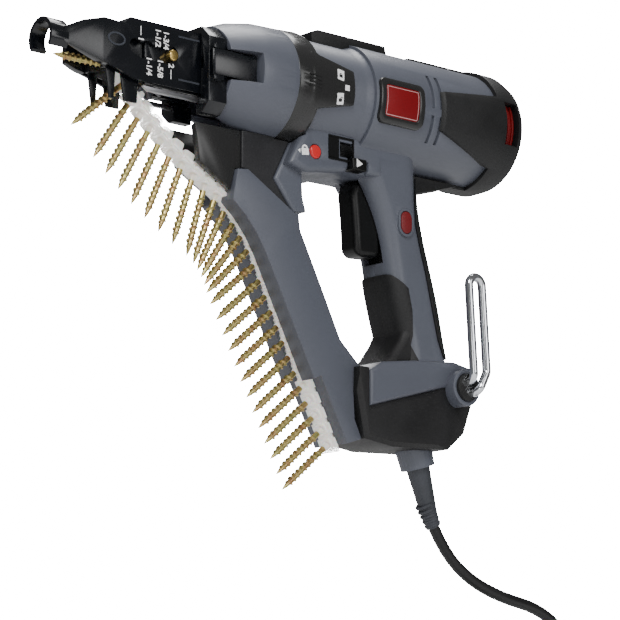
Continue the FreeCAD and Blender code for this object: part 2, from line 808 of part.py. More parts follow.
def build_clamp():
    """The frame that guides the nose at the front of the dome, and its release latch."""
    clamp = new_body("guide_clamp", x="dome_front", z="axis_height")
    extrude(clamp, polygon(clamp, [
        ("-clamp_half_width", "clamp_bottom + clamp_low_cut"),
        ("-clamp_half_width + clamp_low_cut", "clamp_bottom"),
        ("clamp_half_width - clamp_low_cut", "clamp_bottom"),
        ("clamp_half_width", "clamp_bottom + clamp_low_cut"),
        ("clamp_half_width", "clamp_top - clamp_top_cut"),
        ("clamp_half_width - clamp_top_cut", "clamp_top"),
        ("-clamp_half_width + clamp_top_cut", "clamp_top"),
        ("-clamp_half_width", "clamp_top - clamp_top_cut"),
    ], "YZ_Plane"), "2 * clamp_length")
    mouth = "slide_half_width + plate_thickness + 2 * slide_gap"
    extrude(clamp, polygon(clamp, [
        (f"-({mouth})", "plate_bottom - clamp_floor_gap"),
        (mouth, "plate_bottom - clamp_floor_gap"),
        (mouth, "plate_top + slide_gap"),
        (f"-({mouth})", "plate_top + slide_gap"),
    ], "YZ_Plane"), "4 * clamp_length", "Pocket")
    extrude(clamp, polygon(clamp, [
        ("-clamp_slot / 2", "clamp_bottom - overrun"),
        ("clamp_slot / 2", "clamp_bottom - overrun"),
        ("clamp_slot / 2", "0"),
        ("-clamp_slot / 2", "0"),
    ], "YZ_Plane"), "4 * clamp_length", "Pocket")
    reach = "slide_half_width + plate_thickness + button_rise + 2 * slide_gap"
    extrude(clamp, polygon(clamp, [
        (f"-({reach})", "button_lift - button_radius - slide_gap"),
        ("0", "button_lift - button_radius - slide_gap"),
        ("0", "button_lift + button_radius + slide_gap"),
        (f"-({reach})", "button_lift + button_radius + slide_gap"),
    ], "YZ_Plane"), "4 * clamp_length", "Pocket")
    extrude(clamp, polygon(clamp, [
        ("-clamp_length + latch_inset", "-clamp_half_width + overrun"),
        ("-clamp_length + 2 * latch_pivot - latch_inset", "-clamp_half_width + overrun"),
        ("-clamp_length + 2 * latch_pivot - latch_inset", "-clamp_half_width - slide_gap - latch_thickness"),
        ("-clamp_length + latch_inset", "-clamp_half_width - slide_gap - latch_thickness"),
    ], "XY_Plane"), "latch_height + 2 * latch_ear")
    extrude(clamp, polygon(clamp, [
        ("-clamp_length - overrun", "-clamp_half_width"),
        ("-clamp_length + 2 * latch_pivot + latch_inset", "-clamp_half_width"),
        ("-clamp_length + 2 * latch_pivot + latch_inset", "-clamp_half_width - 2 * latch_thickness"),
        ("-clamp_length - overrun", "-clamp_half_width - 2 * latch_thickness"),
    ], "XY_Plane"), "latch_height + 2 * slide_gap", "Pocket")
    extrude(clamp, circle(clamp, "-clamp_length + latch_pivot",
                          "-clamp_half_width - slide_gap - latch_thickness / 2",
                          "latch_pin + running_gap", "XY_Plane"), "4 * latch_height", "Pocket")
    extrude(clamp, polygon(clamp, [
        ("0", "clamp_bottom - overrun"),
        ("clamp_length + overrun", "clamp_bottom - overrun"),
        ("clamp_length + overrun", "clamp_top + overrun"),
        ("0", "clamp_top + overrun"),
    ]), "4 * clamp_half_width", "Pocket")

    rail = new_body("guide_rail", z="axis_height")
    extrude(rail, polygon(rail, [
        ("guide_front", "-guide_drop"),
        ("dome_front - clamp_length", "-guide_drop"),
        ("dome_front - clamp_length", "-guide_drop - guide_height"),
        ("guide_front + guide_ramp", "-guide_drop - guide_height"),
    ]), "2 * guide_half_gauge + 2 * guide_thickness")
    extrude(rail, polygon(rail, [
        ("guide_front - overrun", "-guide_drop + overrun"),
        ("dome_front", "-guide_drop + overrun"),
        ("dome_front", "-guide_drop - guide_height - overrun"),
        ("guide_front - overrun", "-guide_drop - guide_height - overrun"),
    ]), "2 * guide_half_gauge", "Pocket")

    latch = new_body("latch_lever", x="dome_front", y="-clamp_half_width", z="axis_height")
    extrude(latch, polygon(latch, [
        ("-clamp_length + latch_pivot", "-slide_gap"),
        ("latch_reach", "-slide_gap"),
        ("latch_reach", "-slide_gap - latch_thickness - latch_lip"),
        ("latch_reach - latch_lip_length", "-slide_gap - latch_thickness"),
        ("-clamp_length + latch_inset + latch_nose", "-slide_gap - latch_thickness"),
        ("-clamp_length + latch_inset", "-slide_gap - latch_thickness + latch_nose / 2"),
        ("-clamp_length + latch_inset", "-slide_gap - latch_relief"),
    ], "XY_Plane"), "latch_height")
    extrude(latch, circle(latch, "-clamp_length + latch_pivot", "-slide_gap - latch_thickness / 2",
                          "latch_pin", "XY_Plane"),
            "latch_height + 2 * latch_ear")


def build_nose():
    """The sliding nose, its screw length plate with the open ring, and the length button."""
    slide = new_body("nose_slide", z="axis_height")
    extrude(slide, polygon(slide, [
        ("slide_step", "slide_bottom"),
        ("slide_rear", "slide_bottom"),
        ("slide_rear", "slide_top"),
        ("slide_step", "slide_top"),
    ]), "2 * slide_half_width")
    extrude(slide, polygon(slide, [
        ("slide_front", "slide_bottom + slide_chin"),
        ("slide_step", "slide_bottom + slide_chin_rear"),
        ("slide_step", "slide_top"),
        ("slide_front + slide_brow", "slide_top"),
        ("slide_front", "slide_top - slide_brow_drop"),
    ]), "2 * slide_front_half_width")
    second = "flap_front + flap_length + flap_gap"
    for start, length in (("flap_front", "flap_length"), (second, "rear_flap_length")):
        front, rear = f"slide_front + {start}", f"slide_front + {start} + {length}"
        extrude(slide, polygon(slide, [
            (front, "slide_bottom + flap_root"),
            (f"{front} + flap_lean", "slide_bottom - flap_drop"),
            (f"{rear} - flap_taper", "slide_bottom - flap_drop"),
            (rear, "slide_bottom + flap_root"),
        ]), "2 * slide_front_half_width")
    extrude(slide, polygon(slide, [
        ("slide_front - overrun", "slide_bottom - flap_drop - overrun"),
        ("slide_rear + overrun", "slide_bottom - flap_drop - overrun"),
        ("slide_rear + overrun", "slide_roof"),
        ("slide_front - overrun", "slide_roof"),
    ]), "slide_bore", "Pocket")
    extrude(slide, polygon(slide, [
        ("slide_front + flap_front", "slide_bottom - flap_drop - overrun"),
        ("slide_step", "slide_bottom - flap_drop - overrun"),
        ("slide_step", "slide_bottom + strip_mouth"),
        ("slide_front + flap_front", "slide_bottom + strip_mouth"),
    ]), "2 * strip_half_width + 2 * strip_gap", "Pocket")
    extrude(slide, polygon(slide, [
        ("strip_x - strip_slot", "slide_bottom"),
        ("strip_x + strip_slot", "slide_bottom"),
        ("strip_x + strip_slot", "strip_head_room - strip_lead"),
        ("strip_x - strip_slot", "strip_head_room - strip_lead"),
    ]), "2 * strip_half_width + 2 * strip_gap", "Pocket")
    extrude(slide, circle(slide, "sprocket_x", "-sprocket_drop", "sprocket_radius + sprocket_gap"),
            "sprocket_gauge + sprocket_width + 2 * control_gap", "Pocket")
    extrude(slide, circle(slide, "sprocket_x", "-sprocket_drop", "pin_radius + running_gap"),
            "4 * slide_half_width", "Pocket")
    extrude(slide, circle(slide, "button_x", "button_lift", "button_radius + running_gap"),
            "4 * slide_half_width", "Pocket")

    plate = new_body("length_plate", z="axis_height")
    inner, span = "slide_half_width + slide_gap", "plate_rear - ring_front"
    extrude(plate, polygon(plate, [
        ("ring_front + ring_length - ring_lap", "plate_root_top"),
        *[(f"ring_front + {x} * ({span})", f"{z} * plate_top") for x, z in PLATE_TOP_SHARES],
        *[(f"ring_front + {x} * ({span})", f"{z} * plate_bottom") for x, z in PLATE_LOW_SHARES],
        ("ring_front + ring_length - ring_lap", "-plate_root_bottom"),
    ]), f"2 * ({inner} + plate_thickness)")
    clear_x = "slide_step - length_travel - plate_gap"
    extrude(plate, polygon(plate, [
        (clear_x, "plate_bottom - overrun"),
        ("plate_rear + overrun", "plate_bottom - overrun"),
        ("plate_rear + overrun", "slide_top + plate_gap"),
        (clear_x, "slide_top + plate_gap"),
    ]), f"2 * ({inner})", "Pocket")
    extrude(plate, polygon(plate, [
        ("ring_front", "plate_bottom - overrun"),
        (f"{clear_x} + overrun", "plate_bottom - overrun"),
        (f"{clear_x} + overrun", "slide_top + plate_gap"),
        ("ring_front", "slide_top + plate_gap"),
    ]), "2 * (slide_front_half_width + slide_gap)", "Pocket")
    extrude(plate, polygon(plate, [
        ("ring_front + plate_roof", "0"),
        ("plate_rear + overrun", "0"),
        ("plate_rear + overrun", "plate_top + overrun"),
        ("ring_front + plate_roof", "plate_top + overrun"),
    ]), f"2 * ({inner})", "Pocket")
    for side in ("-1", "1"):
        extrude(plate, polygon(plate, [
            ("ring_front", f"{side} * (ring_radius - ring_seat)"),
            ("ring_front + ring_length", f"{side} * (ring_radius - ring_seat)"),
            ("ring_front + plate_shoulder", f"{side} * ({inner} + plate_thickness)"),
            ("ring_front + plate_shoulder", f"{side} * ({inner} + plate_thickness + overrun)"),
            ("ring_front", f"{side} * ({inner} + plate_thickness + overrun)"),
        ], "XY_Plane"), "4 * plate_top", "Pocket")
    for step in range(int(value("slot_steps"))):
        lift = "slot_low" if step % 2 else "slot_high"
        extrude(plate, circle(plate, f"button_x - {step} * slot_pitch", lift, "button_radius + slot_gap"),
                "4 * slide_half_width", "Pocket")
    turn(plate, polygon(plate, [
        ("ring_front", "ring_radius - ring_wall"),
        ("ring_front + ring_length", "ring_radius - ring_wall"),
        ("ring_front + ring_length", "ring_radius"),
        ("ring_front", "ring_radius"),
    ]), "360 - ring_opening")

    button = new_body("length_button", x="button_x", z="axis_height + button_lift")
    turn(button, polygon(button, [
        ("0", "-slide_half_width + button_root"),
        ("button_radius", "-slide_half_width + button_root"),
        ("button_radius", f"-({inner} + plate_thickness + button_rise) + edge_break"),
        ("button_radius - edge_break", f"-({inner} + plate_thickness + button_rise)"),
        ("0", f"-({inner} + plate_thickness + button_rise)"),
    ], "XY_Plane"), "360", "Revolution", "V_Axis")


def star(teeth, root, tip):
    """Corners of a wheel with pointed teeth, as distance and angle from its axis."""
    step = 2 * math.pi / teeth
    return [(r, step * (i + share)) for i in range(teeth)
            for r, share in zip((root, tip, tip, root), TOOTH_SHARES)]


def build_feed():
    """The toothed wheels that draw the strip up, and the spring that returns the nose."""
    x, z = value("sprocket_x"), AXIS - value("sprocket_drop")
    width, gauge = value("sprocket_width"), value("sprocket_gauge")
    corners = [(x + r * math.cos(a), z + r * math.sin(a)) for r, a in
               star(int(value("sprocket_teeth")), value("sprocket_root"), value("sprocket_radius"))]
    wheels = [prism(corners, width / 2, side * gauge / 2) for side in (-1, 1)]
    reach = value("slide_half_width")
    pin = rod(value("pin_radius"), vec(x, -reach, z), vec(x, reach, z))
    add_shape("feed_sprocket", fused([pin] + wheels))

    start = value("slide_rear + spring_gap")
    length = value("bearing_wall_front - spring_gap") - start
    wire, mean, turns = (value(f"spring_{name}") for name in ("wire", "radius", "turns"))
    helix = Part.makeHelix(length / turns, length, mean)
    profile = Part.Wire(Part.makeCircle(wire, vec(mean, 0, 0), Y_AXIS))
    coil = Part.Wire(helix).makePipeShell([profile], True, True)
    coil.Placement = FreeCAD.Placement(vec(start, 0, AXIS), FreeCAD.Rotation(Y_AXIS, 90))
    add_shape("return_spring", coil)


def gear(teeth, front, z, phase):
    """A spur gear along X whose tooth at the given angle from +Y is centred there."""
    module, width, slack = value("gear_module"), value("gear_width"), value("gear_slack")
    pitch = module * teeth / 2
    base = pitch * math.cos(math.radians(value("gear_pressure_angle")))
    root, tip = pitch - ROOT_SHARE * module, pitch + TIP_SHARE * module
    involute = lambda r: math.tan(math.acos(base / r)) - math.acos(base / r)
    half = math.pi / (2 * teeth) - slack / (2 * pitch) + involute(pitch)
    low = max(base, root + value("running_gap"))
    flank = [low + (tip - low) * i / 3 for i in range(4)]
    corners = []
    for i in range(teeth):
        middle = phase + 2 * math.pi * i / teeth
        rise = [(r, -(half - involute(r))) for r in flank]
        side = [(root, rise[0][1])] + rise
        corners += [(r, middle + a) for r, a in side]
        corners += [(r, middle - a) for r, a in reversed(side)]
    points = [vec(front, r * math.cos(a), z + r * math.sin(a)) for r, a in corners]
    return Part.Face(Part.makePolygon(points + points[:1])).extrude(vec(width, 0, 0))


def build_drive():
    """The motor, its reduction through a layshaft, the spindle and the driver bit."""
    width, overrun = value("gear_width"), value("overrun")
    drop = value("gear_module * (pinion_teeth + idler_teeth) / 2")
    teeth = {name: int(value(name)) for name in
             ("pinion_teeth", "idler_teeth", "idler_pinion_teeth", "spindle_teeth")}
    up, down = math.pi / 2, -math.pi / 2
    idler_front, gear_front = value("idler_front"), value("spindle_gear_front")
    pinion = gear(teeth["pinion_teeth"], idler_front, AXIS, down)
    shaft_rear = value("barrel_rear + cap_length - cap_wall - control_gap")
    shaft = rod(value("shaft_radius"), vec(idler_front + width, 0, AXIS), vec(shaft_rear, 0, AXIS))
    add_shape("motor_shaft", fused([pinion, shaft]))

    low = AXIS - drop
    wheel = gear(teeth["idler_teeth"], idler_front, low, up + math.pi / teeth["idler_teeth"])
    small = gear(teeth["idler_pinion_teeth"], gear_front, low, up)
    pin_front = value("bearing_wall_front + bearing_wall + drive_gap")
    pin_rear = value("bearing_plate_front + bearing_plate_depth")
    pin = rod(value("layshaft_radius"), vec(pin_front, 0, low), vec(pin_rear, 0, low))
    joiner = rod(value("layshaft_joiner"), vec(gear_front + width, 0, low), vec(idler_front, 0, low))
    add_shape("layshaft", fused([wheel, joiner, small, pin]))

    big = gear(teeth["spindle_teeth"], gear_front, AXIS, down + math.pi / teeth["spindle_teeth"])
    seat = along(value("spindle_tail_radius"), gear_front - overrun, gear_front + width + overrun)
    add_shape("spindle_gear", big.cut(seat))

    spindle = new_body("spindle", z="axis_height")
    turn(spindle, polygon(spindle, [
        ("spindle_front", "bit_radius + running_gap"),
        ("spindle_front", "spindle_radius - 2 * edge_break"),
        ("spindle_front + 2 * edge_break", "spindle_radius"),
        ("spindle_gear_front - control_gap", "spindle_radius"),
        ("spindle_gear_front - control_gap", "spindle_tail_radius"),
        ("spindle_gear_front + gear_width + spindle_tail", "spindle_tail_radius"),
        ("spindle_gear_front + gear_width + spindle_tail", "0"),
        ("spindle_front + bit_socket", "0"),
        ("spindle_front + bit_socket", "bit_radius + running_gap"),
    ]))

    bit = new_body("driver_bit", z="axis_height")
    turn(bit, polygon(bit, [
        ("spindle_front + bit_socket - bit_end_gap", "0"),
        ("spindle_front + bit_socket - bit_end_gap", "bit_radius"),
        ("bit_tip + bit_neck", "bit_radius"),
        ("bit_tip + bit_taper", "bit_radius - bit_neck_step"),
        ("bit_tip + bit_point", "bit_point_radius"),
        ("bit_tip", "bit_tip_radius"),
        ("bit_tip", "0"),
    ]))
    for angle in (0, 60, 120):
        flats = new_sketch(bit, "YZ_Plane")
        for sign in (-1, 1):
            place_flat(flats, sign, angle)
        extrude(bit, flats, "-4 * bit_tip", "Pocket")

    plate = new_body("bearing_plate", z="axis_height")
    turn(plate, polygon(plate, [
        ("bearing_plate_front", "bearing_radius"),
        ("bearing_plate_front", "case_bore_radius"),
        ("bearing_plate_front + bearing_plate_depth", "case_bore_radius"),
        ("bearing_plate_front + bearing_plate_depth", "bearing_radius"),
    ]))
    extrude(plate, circle(plate, "0", "-gear_module * (pinion_teeth + idler_teeth) / 2",
                          "layshaft_radius + running_gap", "YZ_Plane"), "-4 * bearing_plate_front", "Pocket")

    spindle_ring = new_body("spindle_bearing", x="bearing_wall_front", z="axis_height")
    turn(spindle_ring, polygon(spindle_ring, [
        ("0", "spindle_radius + running_gap"),
        ("0", "spindle_radius + bearing_rim - edge_break"),
        ("edge_break", "spindle_radius + bearing_rim"),
        ("bearing_wall - edge_break", "spindle_radius + bearing_rim"),
        ("bearing_wall", "spindle_radius + bearing_rim - edge_break"),
        ("bearing_wall", "spindle_radius + running_gap"),
    ]))
    rear_seat = value("barrel_rear + cap_length - cap_wall - bearing_length")
    places = ((value("bearing_plate_front"), value("bearing_plate_depth")),
              (rear_seat, value("bearing_length")))
    bore = value("shaft_radius + running_gap")
    rings = []
    for front, length in places:
        outer = along(value("bearing_radius"), front, front + length)
        rings.append(outer.cut(along(bore, front - overrun, front + length + overrun)))
    add_shape("motor_bearings", Part.makeCompound(rings))

    core = new_body("armature_core", x="core_front", z="axis_height")
    turn(core, polygon(core, [
        ("0", "shaft_radius"),
        ("0", "core_radius"),
        ("core_length", "core_radius"),
        ("core_length", "shaft_radius"),
    ]))
    slots = new_sketch(core, "YZ_Plane")
    slot_count = int(value("core_slots"))
    for i in range(slot_count):
        slot_lines(slots, 2 * math.pi * i / slot_count, value("core_radius"))
    extrude(core, slots, "4 * core_length", "Pocket")

    rotor = new_body("commutator", x="commutator_front", z="axis_height")
    turn(rotor, polygon(rotor, [
        ("0", "shaft_radius"),
        ("0", "commutator_radius + commutator_rim"),
        ("commutator_rim_width", "commutator_radius + commutator_rim"),
        ("commutator_rim_width", "commutator_radius"),
        ("commutator_length", "commutator_radius"),
        ("commutator_length", "shaft_radius"),
    ]))

    hub_front, hub_rear = value("case_rear + fan_front_gap"), value("core_front - fan_rear_gap")
    outer, bore = value("fan_radius"), value("shaft_radius")
    hub = along(value("fan_hub_radius"), hub_front, hub_rear)
    disc = along(outer, hub_rear - value("fan_disc"), hub_rear)
    half, count = value("fan_blade_half"), int(value("fan_blades"))
    blade = block((hub_front + value("fan_disc"), hub_rear), (-half, half),
                  (AXIS + value("fan_blade_root"), AXIS + outer - value("fan_blade_inset")))
    blades = []
    for i in range(count):
        vane = blade.copy()
        vane.rotate(vec(0, 0, AXIS), X_AXIS, 360 * i / count)
        blades.append(vane)
    shaft_hole = along(bore, hub_front - overrun, hub_rear + overrun)
    add_shape("cooling_fan", fused([disc, hub] + blades).cut(shaft_hole))

    stator = new_body("stator", x="core_front - stator_lead", z="axis_height")
    turn(stator, polygon(stator, [
        ("0", "stator_bore + stator_flare"),
        ("stator_flare", "stator_bore"),
        ("core_length + 2 * stator_lead - stator_flare", "stator_bore"),
        ("core_length + 2 * stator_lead", "stator_bore + stator_flare"),
        ("core_length + 2 * stator_lead", "stator_radius"),
        ("0", "stator_radius"),
    ]))

    near, far = value("commutator_radius + drive_gap"), value("barrel_radius - barrel_wall - drive_gap")
    front, tall = value("commutator_front + brush_inset"), value("brush_half_height")
    rear = front + value("brush_length")
    holders = [block((front, rear), sorted((side * near, side * far)), (AXIS - tall, AXIS + tall))
               for side in (-1, 1)]
    add_shape("brush_holders", Part.makeCompound(holders))


def place_flat(sketch, sign, angle):
    """One triangle-free strip that trims a round bar to a flat, drawn across the bar's end."""
    near, far = (value("bit_radius") * share for share in FLAT_SHARES)
    tilt = math.radians(angle)
    corner = lambda along, out: vec(out * math.cos(tilt) - along * math.sin(tilt),
                                    out * math.sin(tilt) + along * math.cos(tilt), 0)
    low, high = sign * near, sign * far
    ring = [corner(-far, low), corner(far, low), corner(far, high), corner(-far, high)]
    for i in range(4):
        sketch.addGeometry(Part.LineSegment(ring[i], ring[(i + 1) % 4]), False)


def slot_lines(sketch, angle, radius):
    """The outline of one winding slot of the armature."""
    corner = lambda r, side: vec(r * math.cos(angle) - side * math.sin(angle),
                                 r * math.sin(angle) + side * math.cos(angle), 0)
    half, floor, top = (radius * share for share in WINDING_SLOT_SHARES)
    ring = [corner(floor, -half), corner(top, -half), corner(top, half), corner(floor, half)]
    for i in range(4):
        sketch.addGeometry(Part.LineSegment(ring[i], ring[(i + 1) % 4]), False)


def outline(shares):
    """Side outline points in millimetres from shares of the outline size."""
    unit, rise = value("outline_size"), AXIS / AXIS_SHARE
    return [(unit * x, (rise if z > 0 else unit) * z) for x, z in shares]


def soft_prism(points, half_width, round_edge):
    """A side outline made solid, with its edges on both sides rounded."""
    solid = prism(points, half_width)
    rims = [e for e in solid.Edges if abs(abs(e.CenterOfMass.y) - half_width) < 1e-6]
    return solid.makeFillet(round_edge, rims)


def level_wire(z, middle, half_depth, half_width, corner):
    """A rounded rectangle lying level at a height."""
    inner_x, inner_y = half_depth - corner, half_width - corner
    edges = []
    slant = corner * math.sqrt(0.5)
    for turn_x, turn_y, next_x, next_y in ((1, -1, 1, 1), (1, 1, -1, 1), (-1, 1, -1, -1), (-1, -1, 1, -1)):
        cx, cy = middle + turn_x * inner_x, turn_y * inner_y
        flat_first = turn_x == next_x
        first = vec(cx, cy + turn_y * corner, z) if flat_first else vec(cx + turn_x * corner, cy, z)
        last = vec(cx + turn_x * corner, cy, z) if flat_first else vec(cx, cy + turn_y * corner, z)
        edges.append(Part.Arc(first, vec(cx + turn_x * slant, cy + turn_y * slant, z), last).toShape())
        nx, ny = middle + next_x * inner_x, next_y * inner_y
        goal = vec(nx + next_x * corner, ny, z) if flat_first else vec(nx, ny + next_y * corner, z)
        edges.append(Part.LineSegment(last, goal).toShape())
    return Part.Wire(edges)


def handle_solid(extra, flare=True):
    """The hand grip, as much thicker all round as asked."""
    low, high = value("handle_bottom"), value("handle_top")
    depth, width = value("handle_half_depth"), value("handle_half_width")
    wires = []
    for height, centre, deep, wide in HANDLE_SHARES:
        half_width = wide * width + extra
        corner = value("handle_corner_share") * half_width
        level = low + height * (high - low)
        wires.append(level_wire(level, centre * depth, deep * depth + extra, half_width, corner))
    solid = Part.makeLoft(wires, True, False)
    if not flare:
        return solid
    front = [(x - extra, z) for x, z in outline(FLARE_SHARES)]
    return fused([solid, soft_prism(front, width * FLARE_WIDTH_SHARE + extra, value("flare_round"))])


def halves(solid):
    """The two parts of a shell that is split on the mid-plane."""
    reach = value("cut_reach")
    return (solid.common(block((-reach, reach), (-reach, 0), (-reach, reach))),
            solid.common(block((-reach, reach), (0, reach), (-reach, reach))))


def across(radius, x, z, start, end):
    """A round bar that runs across the tool."""
    return rod(radius, vec(x, start, z), vec(x, end, z))


def stadium(x, z, half_x, half_z, start, end):
    """An upright oval bar that runs across the tool."""
    gap = half_z - half_x
    return fused([block((x - half_x, x + half_x), (start, end), (z - gap, z + gap)),
                  across(half_x, x, z - gap, start, end), across(half_x, x, z + gap, start, end)])


def along(radius, start, end):
    """A round bar on the drive axis."""
    return rod(radius, vec(start, 0, AXIS), vec(end, 0, AXIS))


def control_places():
    """The outlines of the small controls, grown by a clearance for the pockets they sit in."""
    half = value("neck_half_width")
    gap = value("control_gap")

    def lens(extra, start, end):
        return across(value("lens_radius") + extra, value("lens_x"), AXIS - value("lens_drop"), start, end)

    def lock(extra, start, end):
        return stadium(value("lock_x"), value("lock_z"), value("lock_width / 2") + extra,
                       value("lock_length / 2") + extra, start, end)

    def selector(extra, run, start, end):
        x, z = value("selector_x"), AXIS - value("selector_drop")
        reach, tall = value("selector_length / 2") + extra, value("selector_height / 2") + extra
        return block((x - reach, x + reach + run), (start, end), (z - tall, z + tall))

    return half, gap, lens, lock, selector


def case_screw(x, z, top):
    """A screw that joins the half shells, and the hole it needs."""
    shank, head, end = value("case_screw_radius"), value("case_screw_head"), -value("case_screw_end")
    under = top - value("case_screw_head_depth")
    screw = fused([across(shank, x, z, end, top), across(head, x, z, under, top)])
    hole = fused([across(shank, x, z, end, top), across(head, x, z, under, value("cut_reach"))])
    return screw, hole


def wheel_pin(extra):
    """The pin that carries the thumb wheel, as much thicker as asked."""
    reach = value("wheel_width / 2 + wheel_pin_reach") + extra
    side, height, middle = -value("wheel_offset"), AXIS - value("wheel_drop"), value("wheel_x")
    return rod(value("wheel_pin") + extra, vec(middle - reach, side, height), vec(middle + reach, side, height))


def barrel_grooves():
    """The short vent grooves round the barrel ahead of its side pads."""
    radius, depth, width = value("barrel_radius"), value("groove_depth"), value("groove_width")
    overrun = value("overrun")
    grooves = []
    for i in range(2):
        x = value("groove_front") + i * value("groove_pitch")
        inside = along(radius - depth, x - overrun, x + width + overrun)
        ring = along(radius + overrun, x, x + width).cut(inside)
        for low, high in GROOVE_SHARES:
            grooves.append(ring.common(block((x - overrun, x + width + overrun), (-2 * radius, 2 * radius),
                                             (AXIS + low * radius, AXIS + high * radius))))
    return grooves


def build_housing():
    """The two half shells of barrel, neck, handle and base, with the controls they carry."""
    half, gap, lens, lock, selector = control_places()
    wall, radius = value("barrel_wall"), value("barrel_radius")
    front, rear = value("case_rear"), value("barrel_rear")
    surface = -value("handle_half_width") * SURFACE_SHARE
    solid = fused([
        along(radius, front, rear),
        soft_prism(outline(NECK_SHARES), half, value("neck_round")),
        soft_prism(outline(STRUT_SHARES), value("arm_half_width - strut_inset"), value("arm_round")),
        handle_solid(0.0),
        soft_prism(outline(BASE_SHARES), value("base_half_width"), value("base_round")),
        lock(value("lock_rim"), surface - value("overrun"), surface + wall),
    ])
    cone_front, cone = value("case_rear - cone_length"), value("case_radius + cone_rise")
    case = Part.makeCone(value("case_radius"), cone, front - cone_front, vec(cone_front, 0, AXIS), X_AXIS)
    shaft = along(value("collar_radius + collar_room"), value("dome_rear - dome_seat"), value("case_front"))
    finger = outline(TRIGGER_SHARES)
    trigger_low, trigger_high = min(z for _, z in finger), max(z for _, z in finger)
    reach, overrun = value("cut_reach"), value("overrun")
    above_floor = block((-reach, reach), (-reach, reach), (-value("handle_floor"), reach))
    hollow = handle_solid(-wall).common(above_floor)
    bosses = [across(value("pillar_radius"), x, z, -reach, reach) for x, z in outline(BODY_SCREW_SHARES)]
    pillars = Part.makeCompound(bosses).common(handle_solid(0.0))
    slot = block((value("trigger_front - trigger_room"),
                  value("trigger_front + trigger_depth + trigger_travel + trigger_slot_gap")),
                 (-value("trigger_width / 2 + control_gap"), value("trigger_width / 2 + control_gap")),
                 (trigger_low - value("trigger_foot_gap"), trigger_high + overrun))
    shell = solid.cut(hollow.cut(pillars))
    wheel_x, wheel_z = value("wheel_x"), AXIS - value("wheel_drop")
    wheel_half = value("wheel_width / 2") + gap
    wheel_reach = value("wheel_radius") + gap
    window = block((wheel_x - wheel_half, wheel_x + wheel_half), (-reach, -value("wheel_offset") + wheel_reach),
                   (wheel_z - wheel_reach, wheel_z + wheel_reach))
    shell = shell.cut(fused([
        along(radius - wall, front + wall, rear + overrun),
        along(value("case_bore_radius - bore_step"), front - overrun, front + wall + overrun),
    ]))
    for cutter in (case, shaft, along(value("case_radius"), value("case_front"), cone_front), slot, window,
                   lens(gap, -reach, -half + value("lens_pocket")), lock(gap, -reach, -value("lock_pocket")),
                   selector(gap, value("selector_travel"), -reach, -half + value("selector_pocket")),
                   across(value("boss_radius"), value("boss_x"), value("boss_z"), -reach, reach)):
        shell = shell.cut(cutter)
    for cutter in barrel_grooves() + [wheel_pin(value("running_gap"))]:
        shell = shell.cut(cutter)
    screws = []
    for x, z in outline(BODY_SCREW_SHARES):
        depth = shell.common(across(gap, x, z, 0, reach)).BoundBox.YMax - value("case_screw_sink")
        screw, hole = case_screw(x, z, depth)
        screws.append(screw)
        shell = shell.cut(hole)
    left, right = halves(shell)
    add_shape("housing_left", left)
    add_shape("housing_right", right)

    thick, thin = handle_solid(value("grip_rise")), handle_solid(0.0)
    base = soft_prism(outline(BASE_SHARES), value("base_half_width"), value("base_round"))
    for label, zone in zip(("grip_left", "grip_right"), halves(prism(outline(GRIP_SHARES), 2 * half))):
        add_shape(label, thick.common(zone).cut(thin).cut(base))
    spine = thick.common(prism(outline(STRIP_SHARES), 2 * half))
    cap_room = along(value("cap_radius") + gap, front, rear + 2 * half)
    gusset = prism(outline(GUSSET_SHARES), half / 2).cut(cap_room)
    add_shape("rear_grip_strip", fused([spine, gusset]).cut(thin).cut(base))

    add_shape("trigger", soft_prism(finger, value("trigger_width / 2"), value("trigger_round")))
    switch_front = value("trigger_front + trigger_depth + trigger_travel + switch_gap")
    switch_half = value("switch_half_width")
    switch_rear = switch_front + value("switch_depth")
    add_shape("switch_body", block((switch_front, switch_rear), (-switch_half, switch_half),
                                   (trigger_low, trigger_high - value("switch_drop"))))
    add_shape("lock_button", lock(0.0, surface - value("lock_rise"), surface + value("lock_depth")))
    add_shape("release_button", lens(0.0, -half - value("lens_rise"), -half + value("lens_depth")))
    selector_top, selector_root = -half - value("selector_rise"), -half + value("selector_depth")
    add_shape("reverse_selector", selector(0.0, 0.0, selector_top, selector_root))

    count, rim_radius = int(value("wheel_knurls")), value("wheel_radius")
    root = rim_radius - value("wheel_knurl_depth")
    rim = [(r, 2 * math.pi * (i + share) / count) for i in range(count)
           for r, share in zip((rim_radius, rim_radius, root), KNURL_SHARES)]
    wheel_front, wheel_y = wheel_x - value("wheel_width / 2"), -value("wheel_offset")
    ring = [vec(wheel_front, wheel_y + r * math.cos(a), wheel_z + r * math.sin(a)) for r, a in rim]
    disc = Part.Face(Part.makePolygon(ring + ring[:1])).extrude(vec(value("wheel_width"), 0, 0))
    add_shape("depth_wheel", fused([disc, wheel_pin(0.0)]))
    return screws


def strip_pose(s):
    """The place and heading of the screw strip at a distance along it."""
    runs = (
        (value("strip_lead"), 0.0),
        (value("strip_nose_radius") * math.radians(value("strip_nose_turn")), 1 / value("strip_nose_radius")),
        (value("strip_span_radius") * math.radians(value("strip_span_turn")), 1 / value("strip_span_radius")),
        (value("strip_arm_radius") * math.radians(value("strip_arm_turn")), -1 / value("strip_arm_radius")),
        (math.inf, 0.0),
    )
    x, z, heading = value("strip_x"), AXIS - value("strip_lead"), -math.pi / 2
    for length, bend in runs:
        step = min(s, length)
        after = heading + bend * step
        if bend:
            x += (math.sin(after) - math.sin(heading)) / bend
            z -= (math.cos(after) - math.cos(heading)) / bend
        else:
            x += step * math.cos(heading)
            z += step * math.sin(heading)
        heading = after
        s -= step
        if s <= 0:
            break
    return x, z, heading


